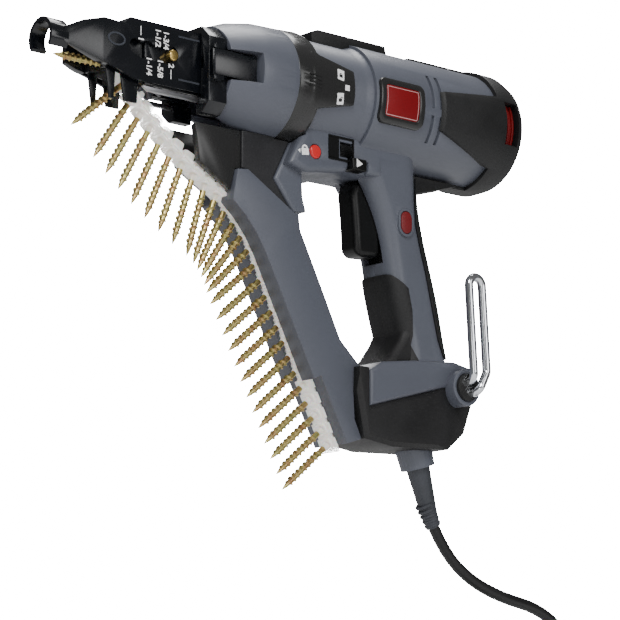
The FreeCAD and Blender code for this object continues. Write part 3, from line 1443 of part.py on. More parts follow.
def beside_strip(s, offset):
    """The point beside the strip, with positive offsets on the side of the screw points."""
    x, z, heading = strip_pose(s)
    return x + offset * math.sin(heading), z - offset * math.cos(heading)


def band(start, end, low, high):
    """The side outline of a band that follows the strip between two offsets."""
    count = max(1, round(2 * (end - start) / value("screw_pitch")))
    places = [start + (end - start) * i / count for i in range(count + 1)]
    return [beside_strip(s, low) for s in places] + [beside_strip(s, high) for s in reversed(places)]


def screw_place(index):
    """How far along the strip a screw sits."""
    return value("first_screw_drop") - value("strip_lead") + index * value("screw_pitch")


def build_arm(shell_screws):
    """The magazine arm's halves, the panel on its neck and the block that steers the strip."""
    half = value("arm_half_width")
    start, step_back, end = (screw_place(value(f"arm_{name}")) for name in ("start", "step", "end"))
    front = [beside_strip(start + (step_back - start) * i / 9, value("arm_lip")) for i in range(10)]
    rest = [beside_strip(step_back, -value("arm_set_back")), beside_strip(end, -value("arm_set_back"))]
    body = prism(front + rest + outline(ARM_SHARES), half)
    tape, inside = value("strip_thickness / 2 + control_gap"), value("strip_half_width + tape_room")
    head_half = value("screw_head_radius + screw_room")
    first, last = start - value("arm_lead_in"), end + value("arm_lead_out")
    channel = [
        prism(band(first, last, -tape, tape), inside),
        prism(band(first, last, -value("head_room"), 0), head_half),
        prism(band(first, last, 0, value("shank_room")), value("screw_radius + screw_room")),
    ]
    for cutter in channel:
        body = body.cut(cutter)
    screws = []
    for x, z in outline(ARM_SCREW_SHARES):
        screw, hole = case_screw(x, z, half - value("case_screw_sink") / 2)
        screws.append(screw)
        body = body.cut(hole)
    for label, piece in zip(("arm_left", "arm_right"), halves(body)):
        add_shape(label, piece)
    add_shape("case_screws", Part.makeCompound(shell_screws + screws))
    clear = fused([along(value("dome_radius + dome_gap"), value("2 * dome_front"), value("dome_rear")),
                   along(value("collar_radius + collar_room"), value("dome_rear - overrun"),
                         value("case_front"))])
    panel = soft_prism(outline(PANEL_SHARES), value("arm_half_width - panel_inset"), value("panel_round"))
    add_shape("arm_panel", panel.cut(clear))

    top = AXIS + value("clamp_bottom - guide_block_gap")
    front, rear, heel = value("guide_block_front"), value("guide_block_rear"), value("guide_heel")
    run_start, run = value("guide_run_start"), value("guide_run_end - guide_run_start")
    lower = [beside_strip(run_start + run * i / 4, -tape) for i in range(5)]
    lip = (rear - value("guide_lip"), heel - value("guide_lip_rise"))
    guide = prism([(front, top)] + lower + [lip, (rear, heel), (rear, top)], value("guide_block_half_width"))
    way_start, way_end = run_start - value("shank_room"), run_start + run + value("arm_lead_in")
    screw_way = band(way_start, way_end, -value("head_room"), tape)
    guide = guide.cut(prism(screw_way, head_half))
    guide = guide.cut(block((2 * front, value("guide_block_wall")), (-inside, inside), (0, 2 * AXIS)))
    add_shape("strip_guide", guide.cut(clear))


def build_strip():
    """The plastic strip with its row of screws, one place already empty."""
    length, head, depth = value("screw_length"), value("screw_head_radius"), value("screw_head_depth")
    shank, point = value("screw_radius"), value("screw_point")
    half_outline = [vec(0, 0, 0), vec(head, 0, 0), vec(head, 0, value("screw_head_rim")), vec(shank, 0, depth),
                    vec(shank, 0, length - point), vec(value("screw_tip_radius"), 0, length), vec(0, 0, length)]
    pattern = Part.Face(Part.makePolygon(half_outline + half_outline[:1])).revolve(vec(0, 0, 0), Z_AXIS, 360)
    count, span_count = int(value("screw_count")), int(value("span_screw_count"))
    groups = {"nose_screw": [], "span_screws": [], "arm_row_screws": []}
    holes = []
    for index in range(count):
        x, z, heading = strip_pose(screw_place(index))
        heading += math.radians(value("screw_tilt")) if index else 0.0
        aim = vec(math.sin(heading), 0, -math.cos(heading))
        screw = pattern.copy()
        head_place = vec(x, 0, z) - aim * value("screw_head_rise")
        screw.Placement = FreeCAD.Placement(head_place, FreeCAD.Rotation(Z_AXIS, aim))
        holes.append(screw)
        if index == int(value("missing_screw")):
            continue
        name = "nose_screw" if index == 0 else "span_screws" if index < span_count else "arm_row_screws"
        groups[name].append(screw)
    for label, screws in groups.items():
        add_shape(label, screws[0] if len(screws) == 1 else Part.makeCompound(screws))

    thick, half = value("strip_thickness / 2"), value("strip_half_width")
    tape = prism(band(0, screw_place(count) - value("screw_head_radius"), -thick, thick), half)
    notches = []
    for index in range(count - 1):
        middle = screw_place(index + 0.5)
        reach = value("notch_half_length")
        outline_notch = band(middle - reach, middle + reach, -4 * thick, 4 * thick)
        for side in (-1, 1):
            notches.append(prism(outline_notch, value("notch_depth"), side * half))
    add_shape("screw_strip", tape.cut(Part.makeCompound(notches)).cut(Part.makeCompound(holes)))


def plan_prism(points, low, high):
    """A plan outline in X and Y made solid between two heights."""
    corners = [vec(x, y, low) for x, y in points]
    return Part.Face(Part.makePolygon(corners + corners[:1])).extrude(vec(0, 0, high - low))


def rounded_route(points, radius=None):
    """Straight runs joined by tangent arcs, with the arc's radius given or taken from the runs."""
    edges, here, radii = [], points[0], []
    for before, corner, after in zip(points, points[1:], points[2:]):
        arrive, leave = (corner - before), (after - corner)
        half_turn = arrive.getAngle(leave) / 2
        reach = RUN_SHARE * min(arrive.Length, leave.Length) if radius is None else radius * math.tan(half_turn)
        arrive.normalize()
        leave.normalize()
        first, last = corner - arrive * reach, corner + leave * reach
        bend = reach / math.tan(half_turn)
        inward = leave - arrive
        inward.normalize()
        centre = corner + inward * (bend / math.cos(half_turn))
        edges.append(Part.LineSegment(here, first).toShape())
        edges.append(Part.Arc(first, centre - inward * bend, last).toShape())
        radii.append(bend)
        here = last
    edges.append(Part.LineSegment(here, points[-1]).toShape())
    return Part.Wire(edges), radii


def tube(wire, radius):
    """A round tube along a wire."""
    start = wire.Edges[0].valueAt(wire.Edges[0].FirstParameter)
    aim = wire.Edges[0].tangentAt(wire.Edges[0].FirstParameter)
    return wire.makePipeShell([Part.Wire(Part.makeCircle(radius, start, aim))], True, False)


def build_base():
    """The rubber boot under the handle, the hook's boss and socket, and the wire hook."""
    half, tail, reach = value("boot_half_width"), value("boot_tail_half_width"), value("cut_reach")
    taper_front, taper_rear = value("boot_taper_front"), value("boot_taper_rear")
    boss_x, boss_z, boss_end = value("boss_x"), value("boss_z"), value("boss_end")
    boot = prism(outline(BOOT_SHARES), half)
    for side in (-1, 1):
        boot = boot.cut(plan_prism([(taper_front, side * half), (taper_rear, side * tail), (reach, side * tail),
                                    (reach, side * reach), (taper_front, side * reach)], -reach, 0))
    low_rims = [e for e in boot.Edges if e.BoundBox.YLength < 1e-6 and abs(e.CenterOfMass.y) > tail / 2
                and e.CenterOfMass.z < value("boot_chamfer_top")
                and e.CenterOfMass.x < value("boot_chamfer_rear")]
    boot = boot.makeChamfer(value("boot_chamfer"), low_rims)
    boot = boot.cut(soft_prism(outline(BASE_SHARES), value("base_half_width"), value("base_round")))
    boot = boot.cut(handle_solid(value("grip_rise")))
    foot = outline(ARM_SHARES)[3::-1]
    arm = prism([(-reach, foot[-1][1]), (-reach, foot[0][1])] + foot, value("arm_half_width"))
    boot = boot.cut(arm).cut(across(value("boss_radius"), boss_x, boss_z, -reach, reach))
    add_shape("base_boot", boot)

    inner_end, overrun = boss_end + value("boss_depth"), value("overrun")
    boss = across(value("boss_radius"), boss_x, boss_z, boss_end, -boss_end - value("boss_far_step"))
    boss = boss.cut(across(value("boss_bore"), boss_x, boss_z, boss_end - overrun, inner_end))
    add_shape("hook_boss", boss)

    wire = value("hook_wire / 2")
    plane, top, spread = value("hook_plane"), boss_z + value("hook_height"), value("hook_spread")
    left_x, right_x = boss_x, boss_x + spread
    offset, seat, crown_base = value("hook_offset"), inner_end - value("hook_seat"), top - spread / 2
    up_points = [vec(left_x, seat, boss_z + offset), vec(left_x, plane, boss_z + offset),
                 vec(left_x, plane, crown_base)]
    down_points = [vec(right_x, plane, crown_base), vec(right_x, plane, boss_z + value("hook_return")),
                   vec(boss_x + offset, plane, boss_z - offset), vec(boss_x + offset, seat, boss_z - offset)]
    rise, _ = rounded_route(up_points, value("hook_bend"))
    fall, _ = rounded_route(down_points, value("hook_bend"))
    crown = Part.Arc(up_points[-1], vec((left_x + right_x) / 2, plane, top), down_points[0]).toShape()
    hook = tube(Part.Wire(rise.Edges + [crown] + fall.Edges), wire)
    hook.rotate(vec(boss_x, 0, boss_z), Y_AXIS, -value("hook_lean"))
    add_shape("belt_hook", hook)
    bush_top, bush_end = boss_end - value("socket_rise"), inner_end - value("control_gap")
    bush = across(value("boss_bore - running_gap"), boss_x, boss_z, bush_top, bush_end)
    key, key_end = value("socket_key"), boss_end - value("socket_rise - socket_key_depth")
    key_root = boss_z + value("socket_key_root")
    bush = bush.cut(block((boss_x - key, boss_x + key), (-reach, key_end), (key_root, reach)))
    add_shape("hook_socket", bush.cut(hook))


def arc_from(start, aim, end):
    """An arc that leaves a point in a direction and ends at another point."""
    chord = end - start
    side = chord - aim * chord.dot(aim)
    if side.Length < 1e-6:
        return Part.LineSegment(start, end)
    side.normalize()
    radius = chord.dot(chord) / (2 * chord.dot(side))
    centre = start + side * radius
    out = (start - centre) + (end - centre)
    out.normalize()
    return Part.Arc(start, centre + out * abs(radius), end)


def biarc(start, aim, end, goal):
    """Two arcs that join two points with their directions."""
    chord, both = end - start, aim + goal
    spread = 2 * (1 - aim.dot(goal))
    along_chord = chord.dot(both)
    if spread < 1e-9:
        reach = chord.dot(chord) / (4 * chord.dot(goal))
    else:
        reach = (-along_chord + math.sqrt(along_chord ** 2 + spread * chord.dot(chord))) / spread
    middle = (start + end + (aim - goal) * reach) * 0.5
    back = arc_from(end, goal * -1, middle)
    first = arc_from(start, aim, middle)
    second = Part.LineSegment(middle, end) if isinstance(back, Part.LineSegment) else \
        Part.Arc(middle, back.value((back.FirstParameter + back.LastParameter) / 2), end)
    return [first, second]


def coil_stations():
    """Points and directions along the put-away coil, from its top layer down to its lowest."""
    step, outer = value("coil_step"), value("coil_outer")
    turns, layers = value("coil_turns"), int(value("coil_layers"))
    rate, quarter = step / (2 * math.pi), math.pi / 2
    angle, radius, height = quarter, outer, value("coil_top")
    stations = []

    def add(a, r, z, dr, dz):
        across_r = vec(math.cos(a), math.sin(a), 0)
        aim = across_r * dr + vec(-math.sin(a), math.cos(a), 0) * r + vec(0, 0, dz)
        aim.normalize()
        stations.append((vec(value("coil_x"), 0, 0) + across_r * r + vec(0, 0, z), aim))

    for layer in range(layers):
        way = -1 if layer % 2 == 0 else 1
        for i in range(int(turns * 4) + (layer == layers - 1)):
            slope = 0.0 if (layer == 0 and i == 0) or i == turns * 4 else way * rate
            add(angle + i * quarter, radius + way * rate * i * quarter, height, slope, 0.0)
        angle += turns * 2 * math.pi
        radius += way * step * turns
        if layer == layers - 1:
            break
        for i in range(2):
            turned = i * quarter
            bulge = way * rate * (turned - turned ** 2 / math.pi)
            share = i / 2
            fall = step * share ** 2 * (3 - 2 * share)
            add(angle + turned, radius + bulge, height - fall, way * rate * (1 - 2 * share),
                -6 * step / math.pi * share * (1 - share))
        angle += math.pi
        height -= step
    return stations


def build_cord():
    """The cord's collar and bend relief, the lead, the tied coil and the plug."""
    tilt = math.radians(value("cord_tilt"))
    aim = vec(math.sin(tilt), 0, -math.cos(tilt))
    entry = vec(value("cord_x"), 0, value("cord_z"))
    collar_end = entry + aim * value("cord_collar_length")
    root = value("cord_collar_root")
    collar = Part.makeCone(value("cord_collar_radius"), value("cord_collar_radius - cord_collar_taper"),
                           value("cord_collar_length") + root, entry - aim * root, aim)
    add_shape("cord_collar", collar.cut(prism(outline(BOOT_SHARES), value("boot_half_width"))))

    bend, straight = value("relief_bend"), value("relief_straight")
    wires, place, heading = [], collar_end, math.pi / 2 - tilt
    levels = int(value("relief_levels"))
    for i in range(levels + 1):
        share = i / levels
        run = share * value("relief_length")
        turned = max(0.0, run - straight) / bend
        now = heading - turned
        x = collar_end.x + min(run, straight) * math.cos(heading) - bend * (math.sin(now) - math.sin(heading))
        z = collar_end.z - min(run, straight) * math.sin(heading) - bend * (math.cos(now) - math.cos(heading))
        place, way = vec(x, 0, z), vec(math.cos(now), 0, -math.sin(now))
        size = value("relief_radius") + share * value("relief_end_radius - relief_radius")
        wires.append(Part.Wire(Part.makeCircle(size, place, way)))
    add_shape("strain_relief", Part.makeLoft(wires, True, False))

    radius = value("cord_diameter / 2")
    top, coil_x, outer = value("coil_top"), value("coil_x"), value("coil_outer")
    straight_end = 2 * radius
    route = [place, place + way * value("cord_run_in")] + [vec(*p) for p in CORD_ROUTE] + [
        vec(coil_x + value("coil_run_in"), outer, top), vec(coil_x + straight_end, outer, top)]
    lead, radii = rounded_route(route)
    lead_tube = tube(lead, radius)
    add_shape("cord_lead", lead_tube)
    print("lead bends", [round(r, 1) for r in radii], "length", round(lead.Length),
          "volume ratio", round(lead_tube.Volume / (math.pi * radius ** 2 * lead.Length), 4))

    stations = coil_stations()
    edges = [Part.LineSegment(route[-1], stations[0][0])]
    for (start, first), (end, second) in zip(stations, stations[1:]):
        edges += biarc(start, first, end, second)
    last, out = stations[-1]
    floor = last.z - radius - value("tie_thickness + tie_gap")
    plug_z = floor + value("plug_half_height")
    rise_end = vec(last.x + value("plug_lead"), last.y, plug_z)
    edges += biarc(last, out, rise_end, X_AXIS)
    plug_face = rise_end + X_AXIS * straight_end
    edges.append(Part.LineSegment(rise_end, plug_face))
    coil = Part.Wire([e.toShape() for e in edges])
    coil_tube = tube(coil, radius)
    add_shape("cord_coil", coil_tube)
    points = coil.discretize(Distance=radius)
    apart = 8
    total = len(points)
    nearest = min((points[i] - points[j]).Length for i in range(total) for j in range(i + apart, total))
    print("coil length", round(coil.Length), "least gap", round(nearest - 2 * radius, 2), "volume ratio",
          round(coil_tube.Volume / (math.pi * radius ** 2 * coil.Length), 4))

    inner = outer - value("coil_turns * coil_step")
    room = value("tie_room")
    near, far = coil_x - inner + radius + 2 * room, coil_x - outer - radius - room
    half, thick = value("tie_width / 2"), value("tie_thickness")
    low, high = last.z - radius - value("tie_gap"), top + radius + value("tie_gap")
    strap = block((far - thick, near + thick), (-half, half), (low - thick, high + thick))
    add_shape("cord_tie", strap.cut(block((far, near), (-2 * half, 2 * half), (low, high))))

    wide, tall, length = value("plug_half_width"), value("plug_half_height"), value("plug_length")
    x, y = plug_face.x, plug_face.y
    plug = block((x, x + length), (y - wide, y + wide), (plug_z - tall, plug_z + tall))
    plug = plug.makeFillet(value("plug_round"), [e for e in plug.Edges if e.BoundBox.XLength > length / 2])
    slim, neck_end, reach = value("plug_neck_half_width"), x + value("plug_neck"), value("cut_reach")
    for side in (-1, 1):
        near, far = y + side * wide, y + side * reach
        plug = plug.cut(plan_prism([(x, y + side * slim), (neck_end, near), (neck_end, far), (x, far)], -reach, 0))
    add_shape("plug_body", plug)
    blades = []
    for side, tall_blade in ((-1, value("blade_half_height")), (1, value("wide_blade_half_height"))):
        middle = y + side * value("blade_spacing / 2")
        thin, start = value("blade_half_thickness"), x + length
        blades.append(block((start, start + value("blade_length")), (middle - thin, middle + thin),
                            (plug_z - tall_blade, plug_z + tall_blade)))
    add_shape("plug_blades", Part.makeCompound(blades))


build_barrel()
build_clamp()
build_nose()
build_feed()
build_drive()
build_arm(build_housing())
build_strip()
build_base()
build_cord()


def finish():
    """Checks every object, then writes each sub-part's shape."""
    doc.recompute()
    for item in doc.Objects:
        if {"Invalid", "Error"} & set(item.State):
            raise RuntimeError(f"{item.Name} of {item.Label} failed: {item.State}")
    os.makedirs("parts", exist_ok=True)
    for part in parts:
        shape = part.Shape
        if shape.isNull() or not shape.isValid() or not shape.Solids:
            raise RuntimeError(f"{part.Label} has no valid solid")
        shape.exportStep(f"parts/{part.Label}.step")
    print(len(parts), "parts")


finish()
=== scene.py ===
"""Looks of the auto-feed drywall screwdriver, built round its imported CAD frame. All lengths are in metres."""
import json
import logging
import math
from dataclasses import dataclass
from enum import Enum
from typing import Any, Dict, List, Optional, Sequence, Tuple, Union

import bmesh
import bpy
from mathutils import Matrix, Vector


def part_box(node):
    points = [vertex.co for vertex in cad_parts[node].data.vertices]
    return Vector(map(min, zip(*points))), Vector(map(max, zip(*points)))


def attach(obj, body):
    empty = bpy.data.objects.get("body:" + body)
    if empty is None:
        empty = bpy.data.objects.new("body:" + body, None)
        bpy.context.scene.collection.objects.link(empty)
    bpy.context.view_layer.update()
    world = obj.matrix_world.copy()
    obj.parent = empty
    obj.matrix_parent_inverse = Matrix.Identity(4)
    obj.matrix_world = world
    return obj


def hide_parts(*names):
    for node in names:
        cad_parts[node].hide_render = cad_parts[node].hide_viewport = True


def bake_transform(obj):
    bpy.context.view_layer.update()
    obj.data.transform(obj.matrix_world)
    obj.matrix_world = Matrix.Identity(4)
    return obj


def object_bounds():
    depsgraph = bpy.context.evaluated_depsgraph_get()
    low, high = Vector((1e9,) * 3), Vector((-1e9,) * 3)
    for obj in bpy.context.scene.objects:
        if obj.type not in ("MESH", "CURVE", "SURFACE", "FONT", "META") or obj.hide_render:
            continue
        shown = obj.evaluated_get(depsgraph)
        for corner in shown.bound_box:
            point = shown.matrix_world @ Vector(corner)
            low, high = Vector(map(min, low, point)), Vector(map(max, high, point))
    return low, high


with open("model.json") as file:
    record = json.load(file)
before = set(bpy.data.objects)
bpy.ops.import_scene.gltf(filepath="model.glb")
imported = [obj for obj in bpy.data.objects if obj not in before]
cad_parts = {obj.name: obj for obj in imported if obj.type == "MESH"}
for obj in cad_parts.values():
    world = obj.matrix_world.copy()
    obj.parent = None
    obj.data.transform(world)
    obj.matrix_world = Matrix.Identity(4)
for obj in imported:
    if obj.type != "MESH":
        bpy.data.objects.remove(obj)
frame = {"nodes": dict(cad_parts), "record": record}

CAD_BOX = [list(corner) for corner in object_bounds()]
MM = 0.001
FULL_TURN = 2 * math.pi
FULL_CHANNEL = 255
DISPLAY_GAMMA = 2.2
AXIS_HEIGHT = 0.113
# Attribute on bevelled edge faces that makes them lighter: partly rubbed wear, partly a painted edge highlight.
WEAR_AND_HIGHLIGHT = "edge_wear_and_highlight"
MERGE_DISTANCE = 1e-6
FLAT_ANGLE = math.radians(0.5)
SHARP_ANGLE = math.radians(32)
BODY_OF_NODE = {
    node: body for body, nodes in frame["record"]["behaviour"]["bodies"].items() for node in nodes}

log = logging.getLogger("screwdriver")
Colour = Tuple[float, float, float]
Point = Tuple[float, float, float]
Flat = Tuple[float, float]
Key = Union[int, str]
Settings = Dict[str, Any]
Sockets = Dict[Key, Any]


def shade(red: int, green: int, blue: int) -> Colour:
    """Turns a display colour of 0 to 255 into the linear values that shaders use."""
    return tuple((channel / FULL_CHANNEL) ** DISPLAY_GAMMA for channel in (red, green, blue))


def toned(colour: Colour, factor: float, lift: float = 0.0) -> Colour:
    """The colour made darker or lighter."""
    return tuple(min(1.0, channel * factor + lift) for channel in colour)


def circle(count: int) -> List[Flat]:
    """Points round a unit circle."""
    angles = [FULL_TURN * index / count for index in range(count)]
    return [(math.cos(angle), math.sin(angle)) for angle in angles]


def crossed(count: int, arm: float, gap: float) -> List[Flat]:
    """Points round a cross recess, arm far on its four arms and gap far between them.

    Args:
        count: how many points.
        arm: how far the arms reach.
        gap: how far the points between the arms lie.

    Returns:
        The points.
    """
    quarter = count // 4
    fars = [arm if index % quarter in (quarter - 1, 0, 1) else gap for index in range(count)]
    return [(far * across, far * up) for far, (across, up) in zip(fars, circle(count))]


def bar(wide: float, tall: float) -> List[Flat]:
    """The outline of a rectangle round its middle."""
    return [(-wide / 2, -tall / 2), (wide / 2, -tall / 2), (wide / 2, tall / 2), (-wide / 2, tall / 2)]


def facing(low: Sequence[float], high: Sequence[float]) -> Tuple[Flat, float, float]:
    """The middle of a box as seen from the side, and half its width and height."""
    middle = ((low[0] + high[0]) / 2, (low[2] + high[2]) / 2)
    return middle, (high[0] - low[0]) / 2, (high[2] - low[2]) / 2


def placed(name: str, data: Any) -> bpy.types.Object:
    """A new object in the scene.

    Args:
        name: the object's name.
        data: its mesh, curve, light or camera.

    Returns:
        The object.
    """
    made = bpy.data.objects.new(name, data)
    bpy.context.scene.collection.objects.link(made)
    return made


def baked(thing: bpy.types.Object) -> bpy.types.Mesh:
    """The plain mesh that an object's modifiers or curve give."""
    bpy.context.view_layer.update()
    return bpy.data.meshes.new_from_object(thing.evaluated_get(bpy.context.evaluated_depsgraph_get()))


class Signal:
    """A node's output that takes part in Python expressions."""

    def __init__(self, paint: "Paint", socket: bpy.types.NodeSocket) -> None:
        """Keeps the socket and the paint that it belongs to."""
        self.paint = paint
        self.socket = socket

    def _math(self, operation: str, first: Any, second: Any) -> "Signal":
        """Adds a Math node of two values."""
        return self.paint.signal("ShaderNodeMath", {"operation": operation}, {0: first, 1: second})

    def __add__(self, other: Any) -> "Signal":
        """Sum."""
        return self._math("ADD", self, other)

    def __radd__(self, other: Any) -> "Signal":
        """Sum with the number first."""
        return self._math("ADD", other, self)

    def __sub__(self, other: Any) -> "Signal":
        """Difference."""
        return self._math("SUBTRACT", self, other)

    def __rsub__(self, other: Any) -> "Signal":
        """Difference with the number first."""
        return self._math("SUBTRACT", other, self)

    def __mul__(self, other: Any) -> "Signal":
        """Product."""
        return self._math("MULTIPLY", self, other)

    def __rmul__(self, other: Any) -> "Signal":
        """Product with the number first."""
        return self._math("MULTIPLY", other, self)

    def __pow__(self, other: Any) -> "Signal":
        """Power."""
        return self._math("POWER", self, other)


class Paint:
    """A material whose nodes come from one method and from expressions."""

    MIX_FACTOR, MIX_FIRST, MIX_SECOND, MIX_RESULT = 0, 6, 7, 2
    WEAR_AND_HIGHLIGHT_GRAIN = 4 * MM

    def __init__(self, name: str) -> None:
        """Starts a material with its principled shader.

        Args:
            name: the material's name.
        """
        self.material = bpy.data.materials.new(name)
        self.material.use_nodes = True
        self.tree = self.material.node_tree
        self.shader = self.tree.nodes["Principled BSDF"]

    def _fill(self, node: bpy.types.Node, sockets: Sockets) -> None:
        """Sets a node's inputs to values, or links them to signals.

        Args:
            node: the node.
            sockets: the values or signals by input.
        """
        for key, entry in sockets.items():
            if isinstance(entry, Signal):
                self.tree.links.new(entry.socket, node.inputs[key])
            else:
                node.inputs[key].default_value = entry

    def node(self, kind: str, settings: Settings, sockets: Sockets) -> bpy.types.Node:
        """Adds any node.

        Args:
            kind: the node's type name.
            settings: its properties.
            sockets: the values or signals of its inputs.

        Returns:
            The new node.
        """
        made = self.tree.nodes.new(kind)
        for key, setting in settings.items():
            setattr(made, key, setting)
        self._fill(made, sockets)
        return made

    def signal(self, kind: str, settings: Settings, sockets: Sockets, output: Key = 0) -> Signal:
        """Adds any node and takes one of its outputs."""
        return Signal(self, self.node(kind, settings, sockets).outputs[output])

    def place(self, stretch: Point = (1, 1, 1)) -> Signal:
        """Object coordinates, stretched along the axes."""
        spot = self.signal("ShaderNodeTexCoord", {}, {}, "Object")
        return self.signal("ShaderNodeMapping", {}, {"Vector": spot, "Scale": stretch})

    def noise(self, grain: float, detail: float = 2.0, stretch: Point = (1, 1, 1)) -> Signal:
        """Cloudy values from 0 to 1 whose spots are about a grain wide."""
        sockets = {"Vector": self.place(stretch), "Scale": 1 / grain, "Detail": detail}
        return self.signal("ShaderNodeTexNoise", {}, sockets, "Fac")

    def pits(self, grain: float) -> Signal:
        """Cells that are 0 in their middles, for moulded stipple."""
        sockets = {"Vector": self.place(), "Scale": 1 / grain}
        return self.signal("ShaderNodeTexVoronoi", {}, sockets, "Distance")

    def spread(self, source: Signal, low: float, high: float) -> Signal:
        """Stretches the part of a signal between two values over 0 to 1."""
        return self.signal("ShaderNodeMapRange", {"clamp": True}, {0: source, 1: low, 2: high})

    def cloud(
        self, grain: float, detail: float, low: float, high: float, stretch: Point = (1, 1, 1)
    ) -> Signal:
        """Noise whose part between two values is stretched over 0 to 1."""
        return self.spread(self.noise(grain, detail, stretch), low, high)

    def mix(self, factor: Any, first: Any, second: Any) -> Signal:
        """A colour between two colours.

        Args:
            factor: how far towards the second colour.
            first: the colour at 0.
            second: the colour at 1.

        Returns:
            The mixed colour.
        """
        ends = [entry if isinstance(entry, Signal) else (*entry, 1) for entry in (first, second)]
        settings = {"data_type": "RGBA", "clamp_factor": True}
        sockets = {self.MIX_FACTOR: factor, self.MIX_FIRST: ends[0], self.MIX_SECOND: ends[1]}
        return self.signal("ShaderNodeMix", settings, sockets, self.MIX_RESULT)

    def wear_and_highlight(self) -> Signal:
        """How much an edge was bevelled, for rubbed wear and a painted edge highlight, broken up by fine noise.
        """
        edge = self.signal("ShaderNodeAttribute", {"attribute_name": WEAR_AND_HIGHLIGHT}, {}, "Fac")
        return edge * self.cloud(self.WEAR_AND_HIGHLIGHT_GRAIN, detail=4, low=0.35, high=0.75)

    def bump(self, height: Signal, depth: float, strength: float = 1.0) -> Signal:
        """A normal that follows a height map."""
        sockets = {"Height": height, "Distance": depth, "Strength": strength}
        return self.signal("ShaderNodeBump", {}, sockets, "Normal")

    def surface(self, **sockets: Any) -> bpy.types.Material:
        """Sets the shader's own sockets, named with underscores, and gives the material.

        Args:
            sockets: values or signals by the shader's inputs.

        Returns:
            The material.
        """
        self._fill(self.shader, {name.replace("_", " ").title().replace("Ior", "IOR"): entry
                                 for name, entry in sockets.items()})
        return self.material


@dataclass(frozen=True)
class Finish:
    """A named finish. Its material is made once."""

    name: str
    colour: Colour
    roughness: float

    def material(self) -> bpy.types.Material:
        """The finish as a material."""
        return bpy.data.materials.get(self.name) or self.paint(Paint(self.name))

    def paint(self, paint: Paint) -> bpy.types.Material:
        """Adds the finish's nodes.

        Args:
            paint: the new material's node maker.

        Returns:
            The material.
        """
        raise NotImplementedError


@dataclass(frozen=True)
class MouldedPlastic(Finish):
    """Moulded plastic with a fine spark-eroded grain, faint clouds and lighter edges, partly rubbed wear and
    partly a painted highlight.
    """

    grain: float = 0.55 * MM
    depth: float = 0.012 * MM
    clouds: float = 0.10
    rub_and_highlight: float = 0.35
    rub_and_highlight_lift: float = 0.012
    smears: float = 0.03
    specular: float = 0.5
    cloud_size: float = 28 * MM
    smear_size: float = 9 * MM
    smear_stretch: Point = (1, 1, 0.35)
    rough_drop: float = 0.03
    grain_rough: float = 0.06
    edge_polish: float = 0.08

    def paint(self, paint: Paint) -> bpy.types.Material:
        """Adds grain, clouds and lighter edges, partly rubbed wear and partly a painted highlight.

        Args:
            paint: the new material's node maker.

        Returns:
            The material.
        """
        cloud = paint.cloud(self.cloud_size, detail=4, low=0.3, high=0.7)
        clouded = paint.mix(cloud, toned(self.colour, 1 - self.clouds), toned(self.colour, 1 + self.clouds))
        edge = paint.wear_and_highlight()
        # Bevelled edges lighter: partly rubbed wear, partly a painted edge highlight.
        colour = paint.mix(edge, clouded, toned(self.colour, 1 + self.rub_and_highlight, self.rub_and_highlight_lift * self.rub_and_highlight))
        fine = paint.noise(self.grain, detail=3)
        smear = paint.cloud(self.smear_size, detail=5, low=0.3, high=0.8, stretch=self.smear_stretch)
        rough = ((self.roughness - self.rough_drop) + smear * self.smears + fine * self.grain_rough
                 - edge * self.edge_polish)
        return paint.surface(
            base_color=colour, roughness=rough, normal=paint.bump(fine, self.depth),
            specular_ior_level=self.specular)


@dataclass(frozen=True)
class GripRubber(Finish):
    """Soft overmoulded rubber with a pitted stipple, dusty high spots and paler edges, partly worn and partly a
    painted highlight.
    """

    grain: float = 0.9 * MM
    depth: float = 0.12 * MM
    stipple: float = 0.7
    dust_and_highlight: float = 0.5
    dust_and_highlight_lift: float = 0.004
    dust_size: float = 22 * MM
    dust_share: float = 0.8
    edge_wear_and_highlight_share: float = 0.7
    rough_drop: float = 0.05
    dust_rough: float = 0.1
    specular: float = 0.4

    def paint(self, paint: Paint) -> bpy.types.Material:
        """Adds the stipple, the dust, and the paler edges of wear and painted highlight.

        Args:
            paint: the new material's node maker.

        Returns:
            The material.
        """
        pitted = paint.pits(self.grain)
        cloud = paint.cloud(self.dust_size, detail=5, low=0.35, high=0.7)
        # The pale tone serves the dust clouds and the edges, where it is wear and a painted edge highlight.
        pale = toned(self.colour, 1 + self.dust_and_highlight, self.dust_and_highlight_lift)
        edge = paint.wear_and_highlight()
        dusty = paint.mix(cloud * self.dust_share, self.colour, pale)
        colour = paint.mix(edge * self.edge_wear_and_highlight_share, dusty, pale)
        rough = self.roughness - self.rough_drop + cloud * self.dust_rough
        return paint.surface(
            base_color=colour, roughness=rough, normal=paint.bump(pitted, self.depth, self.stipple),
            specular_ior_level=self.specular)


@dataclass(frozen=True)
class BareMetal(Finish):
    """Bare or plated metal with drawn lines along one axis and faint stains."""

    lines: Point = (0.03, 1, 1)
    line_size: float = 0.35 * MM
    depth: float = 0.008 * MM
    stain: float = 0.15
    stain_size: float = 12 * MM
    rough_drop: float = 0.03
    line_rough: float = 0.08
    stain_rough: float = 0.06

    def paint(self, paint: Paint) -> bpy.types.Material:
        """Adds drawn lines and stains.

        Args:
            paint: the new material's node maker.

        Returns:
            The material.
        """
        drawn = paint.noise(self.line_size, detail=3, stretch=self.lines)
        cloud = paint.cloud(self.stain_size, detail=4, low=0.35, high=0.75)
        rough = self.roughness - self.rough_drop + drawn * self.line_rough + cloud * self.stain_rough
        return paint.surface(
            base_color=paint.mix(cloud, self.colour, toned(self.colour, 1 - self.stain)), metallic=1.0,
            roughness=rough, normal=paint.bump(drawn, self.depth))


